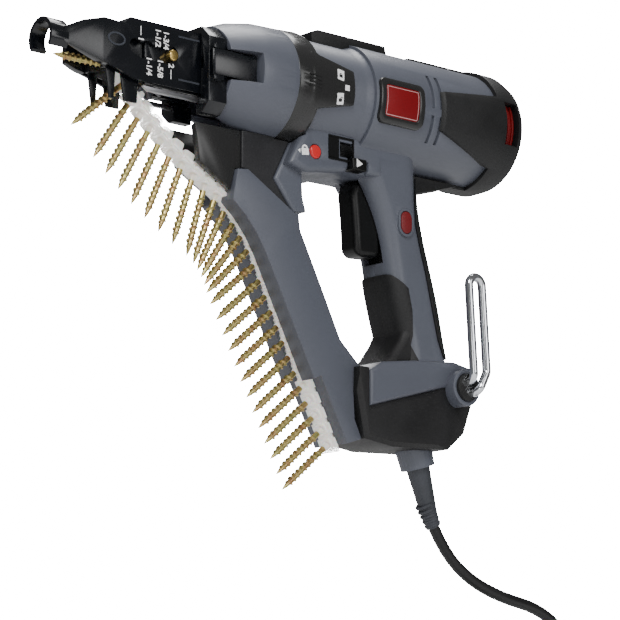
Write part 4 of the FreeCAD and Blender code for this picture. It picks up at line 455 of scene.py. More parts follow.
@dataclass(frozen=True)
class YellowZinc(Finish):
    """Yellow passivated zinc, which drifts from straw to a greenish and rosy gold."""

    rosy: Colour = shade(166, 128, 90)
    greenish: Colour = shade(150, 148, 92)
    drift_size: float = 5 * MM
    grain: float = 0.5 * MM
    depth: float = 0.01 * MM
    grain_rough: float = 0.12
    metal: float = 0.92

    def paint(self, paint: Paint) -> bpy.types.Material:
        """Adds the drifting hues and the plating's fine roughness.

        Args:
            paint: the new material's node maker.

        Returns:
            The material.
        """
        drift = paint.noise(self.drift_size, detail=4)
        first = paint.mix(paint.spread(drift, low=0.30, high=0.52), self.rosy, self.colour)
        hue = paint.mix(paint.spread(drift, low=0.52, high=0.74), first, self.greenish)
        fine = paint.noise(self.grain, detail=2)
        return paint.surface(
            base_color=hue, metallic=self.metal, roughness=self.roughness + fine * self.grain_rough,
            normal=paint.bump(fine, self.depth))


@dataclass(frozen=True)
class MilkyPlastic(Finish):
    """Thin natural polyethylene, milky with faint flow clouds and a painted glow in place of light coming
    through it from the white surround.
    """

    cover: float = 1.0
    painted_glow: float = 0.3
    flow_size: float = 7 * MM
    flow_stretch: Point = (1, 0.4, 1)
    thin_tone: float = 0.86
    thick_share: float = 0.6
    flow_rough: float = 0.12
    depth: float = 0.05 * MM
    scatter: float = 0.35
    scatter_reach: float = 2 * MM

    def paint(self, paint: Paint) -> bpy.types.Material:
        """Adds flow clouds, a waxy surface and a painted glow.

        Args:
            paint: the new material's node maker.

        Returns:
            The material.
        """
        flow = paint.cloud(self.flow_size, detail=4, low=0.3, high=0.75, stretch=self.flow_stretch)
        # Painted glow: emission in the plastic's own colour stands in for light scattered through it.
        return paint.surface(
            base_color=paint.mix(flow, self.colour, toned(self.colour, self.thin_tone)),
            roughness=self.roughness + flow * self.flow_rough, subsurface_weight=self.scatter,
            subsurface_scale=self.scatter_reach, normal=paint.bump(flow, self.depth),
            alpha=self.cover + flow * (1 - self.cover) * self.thick_share, emission_color=(*self.colour, 1),
            emission_strength=self.painted_glow)


@dataclass(frozen=True)
class ClearTint(Finish):
    """A glossy tinted lens under a clear coat."""

    deep: float = 0.55
    cloud_size: float = 6 * MM
    cloud_rough: float = 0.06
    coat: float = 0.6
    coat_rough: float = 0.08

    def paint(self, paint: Paint) -> bpy.types.Material:
        """Adds a depth of tint and a clear coat.

        Args:
            paint: the new material's node maker.

        Returns:
            The material.
        """
        cloud = paint.cloud(self.cloud_size, detail=3, low=0.3, high=0.7)
        return paint.surface(
            base_color=paint.mix(cloud, self.colour, toned(self.colour, self.deep)),
            roughness=self.roughness + cloud * self.cloud_rough, coat_weight=self.coat,
            coat_roughness=self.coat_rough)


@dataclass(frozen=True)
class Print(Finish):
    """Pad-printed ink, slightly uneven."""

    grain: float = 0.8 * MM
    worn_tone: float = 0.72

    def paint(self, paint: Paint) -> bpy.types.Material:
        """Adds thin spots in the ink.

        Args:
            paint: the new material's node maker.

        Returns:
            The material.
        """
        thin = paint.cloud(self.grain, detail=3, low=0.25, high=0.6)
        worn = toned(self.colour, self.worn_tone)
        return paint.surface(base_color=paint.mix(thin, worn, self.colour), roughness=self.roughness)


class Finishes(Enum):
    """The finishes of this tool."""

    BODY = MouldedPlastic("body_plastic", shade(80, 83, 92), 0.41, clouds=0.025)
    BLACK_PLASTIC = MouldedPlastic("black_plastic", shade(21, 21, 22), 0.42, rub_and_highlight=0.8, specular=0.32)
    NOSE = MouldedPlastic("nose_gloss", shade(18, 20, 24), 0.2, grain=1.2 * MM, depth=0.004 * MM, rub_and_highlight=1.2)
    # A lighter copy of the nose plastic: painted highlight on the plate's oval boss and ribs.
    NOSE_PAINTED_HIGHLIGHT = MouldedPlastic("nose_painted_highlight", shade(52, 55, 62), 0.34, rub_and_highlight=0.4)
    TRIGGER = MouldedPlastic("trigger_plastic", shade(14, 14, 15), 0.36, rub_and_highlight=0.6, specular=0.3)
    RUBBER = GripRubber("grip_rubber", shade(22, 22, 23), 0.58)
    PANEL_RUBBER = GripRubber("panel_rubber", shade(32, 32, 34), 0.56, grain=0.7 * MM)
    RELIEF = GripRubber("relief_rubber", shade(50, 52, 57), 0.5, grain=0.6 * MM, depth=0.03 * MM)
    CORD = GripRubber("cord_rubber", shade(20, 20, 21), 0.48, grain=0.5 * MM, depth=0.03 * MM)
    STEEL = BareMetal("drawn_steel", shade(176, 177, 180), 0.28)
    DARK_STEEL = BareMetal("dark_steel", shade(92, 92, 96), 0.36)
    CHROME = BareMetal("chrome_wire", shade(226, 228, 232), 0.10, depth=0.002 * MM, stain=0.06)
    COPPER = BareMetal("copper", shade(188, 112, 74), 0.3)
    BRASS = BareMetal("brass", shade(214, 182, 108), 0.24)
    ZINC = YellowZinc("yellow_zinc", shade(182, 166, 106), 0.23)
    STRIP = MilkyPlastic("milky_strip", shade(246, 244, 240), 0.36, cover=0.6)
    SLEEVE = MilkyPlastic("milky_sleeve", shade(246, 244, 240), 0.30, cover=0.5)
    RED = ClearTint("red_plastic", shade(118, 4, 13), 0.24)
    BADGE_RED = MouldedPlastic("badge_red", shade(114, 8, 17), 0.44, clouds=0.06, rub_and_highlight=0.3, specular=0.3)
    # A darker copy of the red plastic for the vent baffle: painted shade against the fill light that faces it.
    VENT_RED_PAINTED_SHADE = MouldedPlastic("vent_red_painted_shade", shade(96, 7, 12), 0.46, rub_and_highlight=0.3, specular=0.3)
    DULL_RED = MouldedPlastic("dull_red_plastic", shade(106, 20, 25), 0.46, rub_and_highlight=0.2)
    INK = Print("white_ink", shade(250, 250, 250), 0.5)
    DARK_INK = Print("dark_ink", shade(24, 24, 25), 0.5)
    PALE_LINE = Print("pale_line", shade(196, 150, 150), 0.4)


def keep(
    name: str, mesh: bpy.types.Mesh, finish: Finishes, body: Optional[str] = None, *nodes: str
) -> bpy.types.Object:
    """Puts a finished mesh in the scene as a piece.

    Args:
        name: the piece's name.
        mesh: its mesh, in place.
        finish: its finish.
        body: the CAD body it rides on, or none to leave it unattached.
        nodes: the CAD nodes it stands for.

    Returns:
        The piece.
    """
    piece = placed(name, mesh)
    mesh.materials.clear()
    mesh.materials.append(finish.value.material())
    if body:
        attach(piece, body)
    if nodes:
        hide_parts(*nodes)
    log.info("piece %s: %d faces", name, len(mesh.polygons))
    return piece


def to_mesh(name: str, shape: bmesh.types.BMesh) -> bpy.types.Mesh:
    """Turns a bmesh into a smooth-shaded mesh whose sharp edges stay sharp.

    Args:
        name: the mesh's name.
        shape: the bmesh, used up by this.

    Returns:
        The mesh.
    """
    mesh = bpy.data.meshes.new(name)
    shape.to_mesh(mesh)
    shape.free()
    mesh.shade_smooth()
    mesh.set_sharp_from_angle(angle=SHARP_ANGLE)
    return mesh


def merged(node: str) -> bmesh.types.BMesh:
    """A merged copy of a CAD node, flat faces joined.

    Args:
        node: the CAD node.

    Returns:
        The copy.
    """
    shape = bmesh.new()
    shape.from_mesh(frame["nodes"][node].data)
    bmesh.ops.remove_doubles(shape, verts=shape.verts, dist=MERGE_DISTANCE)
    bmesh.ops.dissolve_limit(shape, angle_limit=FLAT_ANGLE, verts=shape.verts, edges=shape.edges)
    return shape


def sharp_edges(shape: bmesh.types.BMesh) -> List[bmesh.types.BMEdge]:
    """The edges where two faces meet at a sharp angle."""
    return [edge for edge in shape.edges
            if len(edge.link_faces) == 2 and edge.calc_face_angle() > SHARP_ANGLE]


def break_edges(
    shape: bmesh.types.BMesh, edges: List[bmesh.types.BMEdge], width: float, segments: int
) -> List[bmesh.types.BMFace]:
    """Rounds edges and gives the new faces.

    Args:
        shape: the shape, changed in place.
        edges: the edges to round.
        width: how wide the rounding is.
        segments: how many faces go round it.

    Returns:
        The new faces.
    """
    made = bmesh.ops.bevel(
        shape, geom=edges, offset=width, offset_type="OFFSET", segments=segments, profile=0.5, affect="EDGES",
        clamp_overlap=True)
    return made["faces"]


def carve(shape: bmesh.types.BMesh, low: Point, high: Point) -> None:
    """Takes a block between two corners out of a closed shape.

    Args:
        shape: the shape, changed in place.
        low: the block's lowest corner.
        high: the block's highest corner.
    """
    block = bmesh.new()
    bmesh.ops.create_cube(block, size=1)
    for vert in block.verts:
        vert.co = [low[axis] if vert.co[axis] < 0 else high[axis] for axis in range(3)]
    helpers = []
    for name, source in (("carved", shape), ("block", block)):
        mesh = bpy.data.meshes.new(name)
        source.to_mesh(mesh)
        helpers.append(placed(name, mesh))
    block.free()
    modifier = helpers[0].modifiers.new("carve", "BOOLEAN")
    modifier.operation = "DIFFERENCE"
    modifier.solver = "EXACT"
    modifier.object = helpers[1]
    result = baked(helpers[0])
    shape.clear()
    shape.from_mesh(result)
    for helper in helpers:
        bpy.data.objects.remove(helper)
    bpy.data.meshes.remove(result)


def softened(
    node: str, finish: Finishes, width: float, segments: int = 2, cut: Optional[Tuple[Point, Point]] = None
) -> bpy.types.Object:
    """Replaces a CAD node with a copy whose edges are broken as a mould breaks them.

    Args:
        node: the CAD node.
        finish: the copy's finish.
        width: how wide the broken edges are.
        segments: how many faces go round a broken edge.
        cut: the corners of a block that is taken out of it.

    Returns:
        The piece.
    """
    shape = merged(node)
    if cut:
        carve(shape, *cut)
    made = break_edges(shape, sharp_edges(shape), width, segments)
    # The bevel faces are marked for lighter edges: rubbed wear and a painted edge highlight.
    layer = shape.faces.layers.float.new(WEAR_AND_HIGHLIGHT)
    for face in made:
        if face.is_valid:
            face[layer] = 1.0
    return keep(f"{node}_soft", to_mesh(f"{node}_soft", shape), finish, BODY_OF_NODE[node], node)


def dress(finish: Finishes, *nodes: str) -> None:
    """Gives CAD nodes whose shape is right their finish.

    Args:
        finish: the finish.
        nodes: the CAD nodes.
    """
    for node in nodes:
        materials = frame["nodes"][node].data.materials
        materials.clear()
        materials.append(finish.value.material())
        log.info("node %s: %s", node, finish.value.name)


def ring_mesh(name: str, rings: Sequence[Sequence[Point]], closed_ends: bool = True) -> bpy.types.Mesh:
    """A skin over rings of points.

    Args:
        name: the mesh's name.
        rings: the rings, with the same number of points each.
        closed_ends: whether the first and last ring get a face; otherwise the skin joins them.

    Returns:
        The mesh.
    """
    shape = bmesh.new()
    rows = [[shape.verts.new(point) for point in ring] for ring in rings]
    count = len(rings[0])
    for first, second in zip(rows, rows[1:] if closed_ends else rows[1:] + rows[:1]):
        for index in range(count):
            following = (index + 1) % count
            shape.faces.new((first[index], first[following], second[following], second[index]))
    if closed_ends:
        shape.faces.new(rows[0])
        shape.faces.new(rows[-1])
    bmesh.ops.recalc_face_normals(shape, faces=shape.faces)
    return to_mesh(name, shape)


@dataclass(frozen=True)
class Skin:
    """Where a mark lies: a flat face at a depth, or a barrel round the drive axis where a radius is given."""

    depth: float = 0.0
    radius: float = 0.0

    def spot(self, x: float, z: float, proud: float) -> Point:
        """The point over a place of the tool's left side, standing proud of the skin."""
        level = -math.sqrt(self.radius ** 2 - (z - AXIS_HEIGHT) ** 2) if self.radius else self.depth
        return (x, level - proud, z)


def cut_out(*outlines: Sequence[Flat]) -> bpy.types.Mesh:
    """Flat shapes of unit outlines, from one under the skin to one over it.

    Args:
        outlines: the outlines, each a ring of points.

    Returns:
        The mesh of all the shapes.
    """
    shape = bmesh.new()
    for outline in outlines:
        low = [shape.verts.new((across, up, -1)) for across, up in outline]
        high = [shape.verts.new((across, up, 1)) for across, up in outline]
        shape.faces.new(high)
        shape.faces.new(low[::-1])
        for index in range(len(outline)):
            following = (index + 1) % len(outline)
            shape.faces.new((low[index], low[following], high[following], high[index]))
    bmesh.ops.recalc_face_normals(shape, faces=shape.faces)
    return to_mesh("cut_out", shape)


def rounded(half_wide: float, half_tall: float, corner: float) -> List[Flat]:
    """The outline of a block with round corners, with points down its upright sides as well.

    Args:
        half_wide: half its width.
        half_tall: half its height.
        corner: the radius of its corners.

    Returns:
        The outline's points.
    """
    corner_steps, side_steps = 8, 10
    wide, tall = half_wide - corner, half_tall - corner
    points = []
    for quarter, (across, up) in enumerate(((1, 1), (-1, 1), (-1, -1), (1, -1))):
        for step in range(corner_steps + 1):
            angle = math.radians(90 * (quarter + step / corner_steps))
            points.append((across * wide + corner * math.cos(angle), up * tall + corner * math.sin(angle)))
        if quarter % 2:
            points.extend((across * half_wide, up * tall * (1 - 2 * step / side_steps))
                          for step in range(1, side_steps))
    return points


def lettering(text: str) -> bpy.types.Mesh:
    """Characters about one unit tall, centred, as a mesh.

    Args:
        text: the characters.

    Returns:
        The mesh.
    """
    font = bpy.data.curves.new("lettering", "FONT")
    font.body = text
    font.align_x = "CENTER"
    font.align_y = "CENTER"
    font.extrude = 1.0
    font.offset = 0.025
    font.resolution_u = 3
    holder = placed("lettering", font)
    mesh = baked(holder)
    bpy.data.objects.remove(holder)
    bpy.data.curves.remove(font)
    return mesh


def bow(centre: Flat, inner: float, outer: float) -> List[Flat]:
    """The outline of a bar bent to a half circle.

    Args:
        centre: the middle of the half circle.
        inner: its inner radius.
        outer: its outer radius.

    Returns:
        The outline's points.
    """
    steps = 10
    angles = [math.pi * index / steps for index in range(steps + 1)]
    sides = ((outer, angles), (inner, angles[::-1]))
    return [(centre[0] + far * math.cos(angle), centre[1] + far * math.sin(angle))
            for far, turns in sides for angle in turns]


def padlock(shift: float) -> bpy.types.Mesh:
    """A padlock icon whose bow is shifted sideways where it is open.

    Args:
        shift: how far the bow is shifted.

    Returns:
        The icon's mesh.
    """
    half, foot, top = 0.42, -0.5, 0.12
    body = [(-half, foot), (half, foot), (half, top), (-half, top)]
    return cut_out(body, bow((shift, top), inner=0.18, outer=0.34))


class Marks:
    """Thin marks gathered into one piece on a skin."""

    slices = 6

    def __init__(self, skin: Skin, proud: float = 0.07 * MM) -> None:
        """Starts without marks.

        Args:
            skin: where the marks lie.
            proud: how far they stand out of it.
        """
        self.skin = skin
        self.proud = proud
        self.shape = bmesh.new()

    def add(self, mesh: bpy.types.Mesh, spot: Flat, size: float, turn: float = 0.0) -> None:
        """Lays a flat unit mesh on the skin.

        Args:
            mesh: the mark, used up by this.
            spot: where its middle goes, along and up.
            size: the length of its unit.
            turn: how far it is turned, in degrees.
        """
        cosine, sine = math.cos(math.radians(turn)), math.sin(math.radians(turn))
        flat = bmesh.new()
        flat.from_mesh(mesh)
        if self.skin.radius:
            for step in range(-self.slices, self.slices + 1):
                bmesh.ops.bisect_plane(flat, geom=flat.verts[:] + flat.edges[:] + flat.faces[:],
                                       plane_co=(0, step / (2 * self.slices), 0), plane_no=(0, 1, 0))
        for vert in flat.verts:
            across, up, over = vert.co
            vert.co = self.skin.spot(spot[0] + size * (across * cosine - up * sine),
                                     spot[1] + size * (across * sine + up * cosine), self.proud * over)
        flat.to_mesh(mesh)
        flat.free()
        self.shape.from_mesh(mesh)
        bpy.data.meshes.remove(mesh)

    def keep(self, name: str, finish: Finishes, body: str) -> bpy.types.Object:
        """Puts the marks in the scene."""
        return keep(name, to_mesh(name, self.shape), finish, body)


class RowTree:
    """A Geometry Nodes tree that sets copies of a form along a path."""

    INPUTS = (("Path", "Object"), ("Form", "Object"), ("First", "Float"), ("Spacing", "Float"),
              ("Count", "Int"), ("Across", "Vector"), ("Side", "Float"), ("Lean", "Float"),
              ("Growth", "Float"), ("Finish", "Material"))

    def __init__(self) -> None:
        """Builds the tree once."""
        self.tree = bpy.data.node_groups.new("row_along_path", "GeometryNodeTree")
        for name, kind in self.INPUTS:
            self.tree.interface.new_socket(name, in_out="INPUT", socket_type=f"NodeSocket{kind}")
        self.tree.interface.new_socket("Geometry", in_out="OUTPUT", socket_type="NodeSocketGeometry")
        self.inlet = self.tree.nodes.new("NodeGroupInput")
        path = self.node("GeometryNodeObjectInfo", {}, {"Object": self.given("Path")})
        form = self.node("GeometryNodeObjectInfo", {}, {"Object": self.given("Form")})
        line = self.node("GeometryNodeMeshLine", {"mode": "OFFSET"}, {"Count": self.given("Count")})
        number = self.node("GeometryNodeInputIndex", {}, {}).outputs[0]
        run = self.node("ShaderNodeMath", {"operation": "MULTIPLY_ADD"},
                        {0: number, 1: self.given("Spacing"), 2: self.given("First")})
        spot = self.node("GeometryNodeSampleCurve", {"mode": "LENGTH", "use_all_curves": True},
                         {"Curves": path.outputs["Geometry"], "Length": run.outputs[0]})
        onward = spot.outputs["Tangent"]
        crosswise = self.vector("CROSS_PRODUCT", {0: self.given("Across"), 1: onward})
        sideways = self.vector("SCALE", {0: crosswise, "Scale": self.given("Side")})
        leaning = self.vector("SCALE", {0: onward, "Scale": self.given("Lean")})
        aim = self.vector("ADD", {0: sideways, 1: leaning})
        turned = self.node("FunctionNodeAlignRotationToVector", {"axis": "Z"}, {"Vector": aim})
        swell = self.node("ShaderNodeMath", {"operation": "MULTIPLY_ADD"},
                          {0: number, 1: self.given("Growth")})
        swell.inputs[2].default_value = 1.0
        moved = self.node("GeometryNodeSetPosition", {},
                          {"Geometry": line.outputs[0], "Position": spot.outputs["Position"]})
        copies = self.node("GeometryNodeInstanceOnPoints", {},
                           {"Points": moved.outputs[0], "Instance": form.outputs["Geometry"],
                            "Rotation": turned.outputs[0], "Scale": swell.outputs[0]})
        real = self.node("GeometryNodeRealizeInstances", {}, {"Geometry": copies.outputs[0]})
        finished = self.node("GeometryNodeSetMaterial", {},
                             {"Geometry": real.outputs[0], "Material": self.given("Finish")})
        self.node("NodeGroupOutput", {}, {"Geometry": finished.outputs[0]})

    def given(self, name: str) -> bpy.types.NodeSocket:
        """The tree's own input of that name."""
        return self.inlet.outputs[name]

    def vector(self, operation: str, links: Sockets) -> bpy.types.NodeSocket:
        """The result of a vector maths node."""
        return self.node("ShaderNodeVectorMath", {"operation": operation}, links).outputs[0]

    def node(self, kind: str, settings: Settings, links: Sockets) -> bpy.types.Node:
        """Adds a node.

        Args:
            kind: the node's type name.
            settings: its properties.
            links: the sockets that feed its inputs.

        Returns:
            The new node.
        """
        made = self.tree.nodes.new(kind)
        for key, setting in settings.items():
            setattr(made, key, setting)
        for key, source in links.items():
            self.tree.links.new(source, made.inputs[key])
        return made

    def lay(self, name: str, path: Sequence[Point], form: bpy.types.Mesh, **sizes: Any) -> bpy.types.Mesh:
        """Sets copies of a form along a path.

        Args:
            name: the mesh's name.
            path: points close together along the path.
            form: the mesh to repeat, whose own Z turns to the path's side, and onward as far as Lean says.
            sizes: the tree's other inputs by name.

        Returns:
            One plain mesh of all the copies.
        """
        line = bpy.data.curves.new(f"{name}_path", "CURVE")
        line.dimensions = "3D"
        spline = line.splines.new("POLY")
        spline.points.add(len(path) - 1)
        for point, spot in zip(spline.points, path):
            point.co = (*spot, 1)
        helpers = [placed(f"{name}_path", line), placed(f"{name}_form", form)]
        carrier = placed(name, bpy.data.meshes.new(name))
        modifier = carrier.modifiers.new("row", "NODES")
        modifier.node_group = self.tree
        values = {"Path": helpers[0], "Form": helpers[1], "Across": (0, 1, 0), "Side": 1.0, "Lean": 0.0,
                  "Growth": 0.0, **sizes}
        for socket in self.tree.interface.items_tree:
            if socket.in_out == "INPUT":
                modifier[socket.identifier] = values[socket.name]
        mesh = baked(carrier)
        for item in (carrier, *helpers):
            bpy.data.objects.remove(item)
        mesh.name = name
        return mesh


@dataclass
class Studio:
    """Camera, soft lights, pale floor and white surround."""

    look_at: Point = (-0.070, 0.0, -0.0156)
    azimuth: float = -41.0
    elevation: float = -10.7
    distance: float = 1.5
    lens: float = 148.06
    near: float = 0.05
    floor_size: float = 6.0
    floor_drop: float = 0.0008
    floor_cloud: float = 0.4
    floor_rough: float = 0.7
    floor_tones: Tuple[Colour, Colour] = (shade(226, 226, 227), shade(232, 232, 232))
    floor_fade: Flat = (0.75, 2.3)
    fade_power: float = 4
    soft_light: float = 0.16
    backdrop: float = 30.0

    LAMPS = (("key", (-1.3, -1.5, 1.25), 0.8, 34), ("fill", (0.1, -1.9, 0.5), 0.9, 10),
             ("top", (0.15, 0.25, 1.5), 0.9, 30), ("back", (1.1, 1.7, 0.8), 0.8, 14),
             ("low", (-1.3, -1.4, -0.1), 0.5, 3.0))

    def build(self) -> None:
        """Sets up the whole studio."""
        self.camera()
        self.floor()
        self.surround()
        for name, spot, size, power in self.LAMPS:
            self.lamp(name, spot, size, power)

    def camera(self) -> None:
        """The camera at the photograph's viewing angle."""
        turn, lift = math.radians(self.azimuth), math.radians(self.elevation)
        back = Vector((math.sin(turn) * math.cos(lift), -math.cos(turn) * math.cos(lift), math.sin(lift)))
        data = bpy.data.cameras.new("photo_camera")
        data.lens = self.lens
        data.clip_start = self.near
        camera = placed("photo_camera", data)
        camera.matrix_world = Matrix.Translation(Vector(self.look_at) + back * self.distance) @ (
            back.to_track_quat("Z", "Y").to_matrix().to_4x4())
        bpy.context.scene.camera = camera

    def floor(self) -> None:
        """A pale floor just under the lowest point, which thins out into the white surround."""
        half = self.floor_size / 2
        level = CAD_BOX[0][2] - self.floor_drop
        corners = [(-half, -half, level), (half, -half, level), (half, half, level), (-half, half, level)]
        mesh = bpy.data.meshes.new("floor")
        mesh.from_pydata(corners, [], [(0, 1, 2, 3)])
        paint = Paint("pale_floor")
        cloud = paint.cloud(self.floor_cloud, detail=3, low=0.3, high=0.7)
        far = paint.signal("ShaderNodeVectorMath", {"operation": "LENGTH"}, {0: paint.place()}, "Value")
        mesh.materials.append(paint.surface(
            base_color=paint.mix(cloud, *self.floor_tones), roughness=self.floor_rough,
            alpha=1 - paint.spread(far, *self.floor_fade) ** self.fade_power))
        floor = placed("floor", mesh)

    def surround(self) -> None:
        """A white surround, brighter to the camera than as a light."""
        world = bpy.data.worlds.new("studio")
        bpy.context.scene.world = world
        world.use_nodes = True
        tree = world.node_tree
        tree.nodes.clear()
        ray = tree.nodes.new("ShaderNodeLightPath")
        either = tree.nodes.new("ShaderNodeMixShader")
        outlet = tree.nodes.new("ShaderNodeOutputWorld")
        tree.links.new(ray.outputs["Is Camera Ray"], either.inputs[0])
        for slot, strength in ((1, self.soft_light), (2, self.backdrop)):
            light = tree.nodes.new("ShaderNodeBackground")
            light.inputs["Color"].default_value = (1, 1, 1, 1)
            light.inputs["Strength"].default_value = strength
            tree.links.new(light.outputs[0], either.inputs[slot])
        tree.links.new(either.outputs[0], outlet.inputs[0])

    def lamp(self, name: str, spot: Point, size: float, power: float) -> None:
        """A square soft light aimed at the tool.

        Args:
            name: the lamp's name.
            spot: where it stands.
            size: the length of its sides.
            power: its power in watts.
        """
        data = bpy.data.lights.new(name, "AREA")
        data.size = size
        data.energy = power
        away = (Vector(spot) - Vector(self.look_at)).normalized()
        placed(name, data).matrix_world = Matrix.Translation(spot) @ (
            away.to_track_quat("Z", "Y").to_matrix().to_4x4())


@dataclass
class PowerCord:
    """The cord from its bend relief to the tied coil and the plug."""

    diameter: float = 0.0072
    length: float = 2.476
    leave: Point = (0.0287, 0.0, -0.1366)
    coil_x: float = 0.092
    coil_outer: float = 0.0442
    coil_step: float = 0.0079
    coil_top: float = -0.2715
    turns: int = 2
    layers: int = 4
    points_per_turn: int = 16
    tail_lead: float = 0.016
    plug_lead: float = 0.018
    plug_face: float = 0.1542
    tail_lift: float = 0.0045
    plug_lift: float = 0.0049
    relief_heading: float = 29.0
    rib_radius: float = 0.0045
    rib_round: float = 0.0007
    rib_stretch: float = 1.3
    rib_first: float = 1.5 * MM
    rib_spacing: float = 3.2 * MM
    rib_count: int = 5
    rib_growth: float = 0.045
    rib_path: int = 22
    rib_sides: int = 28
    section_sides: int = 10
    plug_break: float = 0.6 * MM
    tie_break: float = 0.2 * MM
    relief_break: float = 0.3 * MM
    collar_break: float = 0.5 * MM

    ROUTE = ((0.038, 0.0, -0.152), (0.059, 0.0, -0.1673), (0.086, 0.0, -0.1766), (0.118, 0.0, -0.1816),
             (0.144, 0.0025, -0.195), (0.160, 0.012, -0.217), (0.1605, 0.0255, -0.242),
             (0.145, 0.0375, -0.262), (0.119, 0.0442, -0.2715), (0.0992, 0.0442, -0.2715))

    def coil(self) -> List[Point]:
        """The control points of the coil's turns, layer under layer, winding in and out.

        Returns:
            Points just outside the turns, half a step between the places where the cord touches them.
        """
        step = FULL_TURN / self.points_per_turn
        swell = 1 / math.cos(step / 2)
        rate = self.coil_step / FULL_TURN
        sweep = FULL_TURN * self.turns
        angle = math.pi / 2
        radius = self.coil_outer
        height = self.coil_top
        points = []

        def put(turned: float, far: float, level: float) -> None:
            """Adds a control point of the coil."""
            points.append((self.coil_x + far * swell * math.cos(angle + turned),
                           far * swell * math.sin(angle + turned), level))

        for layer in range(self.layers):
            way = -1 if layer % 2 == 0 else 1
            for index in range(round(sweep / step)):
                turned = (index + 0.5) * step
                put(turned, radius + way * rate * turned, height)
            angle += sweep
            radius += way * rate * sweep
            if layer == self.layers - 1:
                break
            for index in range(round(math.pi / step)):
                turned = (index + 0.5) * step
                part = turned / math.pi
                put(turned, radius + way * rate * turned * (1 - part),
                    height - self.coil_step * part ** 2 * (3 - 2 * part))
            angle += math.pi
            height -= self.coil_step
        return points

    def build(self, rows: RowTree) -> None:
        """Lays the cord, its bend relief and its plug.

        Args:
            rows: the tree that sets copies along a path.
        """
        curve = bpy.data.curves.new("power_cord", "CURVE")
        curve.dimensions = "3D"
        curve.bevel_depth = self.diameter / 2
        curve.bevel_resolution = 3
        curve.resolution_u = 4
        curve.use_fill_caps = True
        low = self.coil_top - (self.layers - 1) * self.coil_step
        tail = [(self.coil_x + self.tail_lead, -self.coil_outer, low),
                (self.plug_face - self.plug_lead, -self.coil_outer, low + self.tail_lift),
                (self.plug_face, -self.coil_outer, low + self.plug_lift)]
        points = [self.leave, *self.ROUTE, *self.coil(), *tail]
        spline = curve.splines.new("NURBS")
        spline.points.add(len(points) - 1)
        for point, spot in zip(spline.points, points):
            point.co = (*spot, 1)
        spline.order_u = 3
        spline.use_endpoint_u = True
        cord = placed("power_cord", curve)
        curve.materials.append(Finishes.CORD.value.material())
        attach(cord, "tool_body")
        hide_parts("cord_lead", "cord_coil")
        plug = softened("plug_body", Finishes.CORD, self.plug_break)
        tie = softened("cord_tie", Finishes.BLACK_PLASTIC, self.tie_break)
        dress(Finishes.BRASS, "plug_blades")
        softened("strain_relief", Finishes.RELIEF, self.relief_break)
        softened("cord_collar", Finishes.BODY, self.collar_break)
        self.rib_relief(rows)

    def rib_relief(self, rows: RowTree) -> None:
        """Adds the ribs near the end of the bend relief.

        Args:
            rows: the tree that sets copies along a path.
        """
        tall = self.rib_round * self.rib_stretch
        section = [(self.rib_radius + self.rib_round * across, tall * up)
                   for across, up in circle(self.section_sides)]
        rings = [[(far * across, far * up, level) for far, level in section]
                 for across, up in circle(self.rib_sides)]
        form = ring_mesh("rib_form", rings, False)
        heading = math.radians(self.relief_heading)
        back = Vector((-math.sin(heading), 0, math.cos(heading)))
        path = [Vector(self.leave) + back * (step * MM) for step in range(self.rib_path)]
        mesh = rows.lay("relief_ribs", path, form, First=self.rib_first, Spacing=self.rib_spacing,
                        Count=self.rib_count, Side=0.0, Lean=1.0, Growth=self.rib_growth,
                        Finish=Finishes.RELIEF.value.material())
        bpy.data.meshes.remove(form)
        piece = keep("relief_ribs", mesh, Finishes.RELIEF, "tool_body")


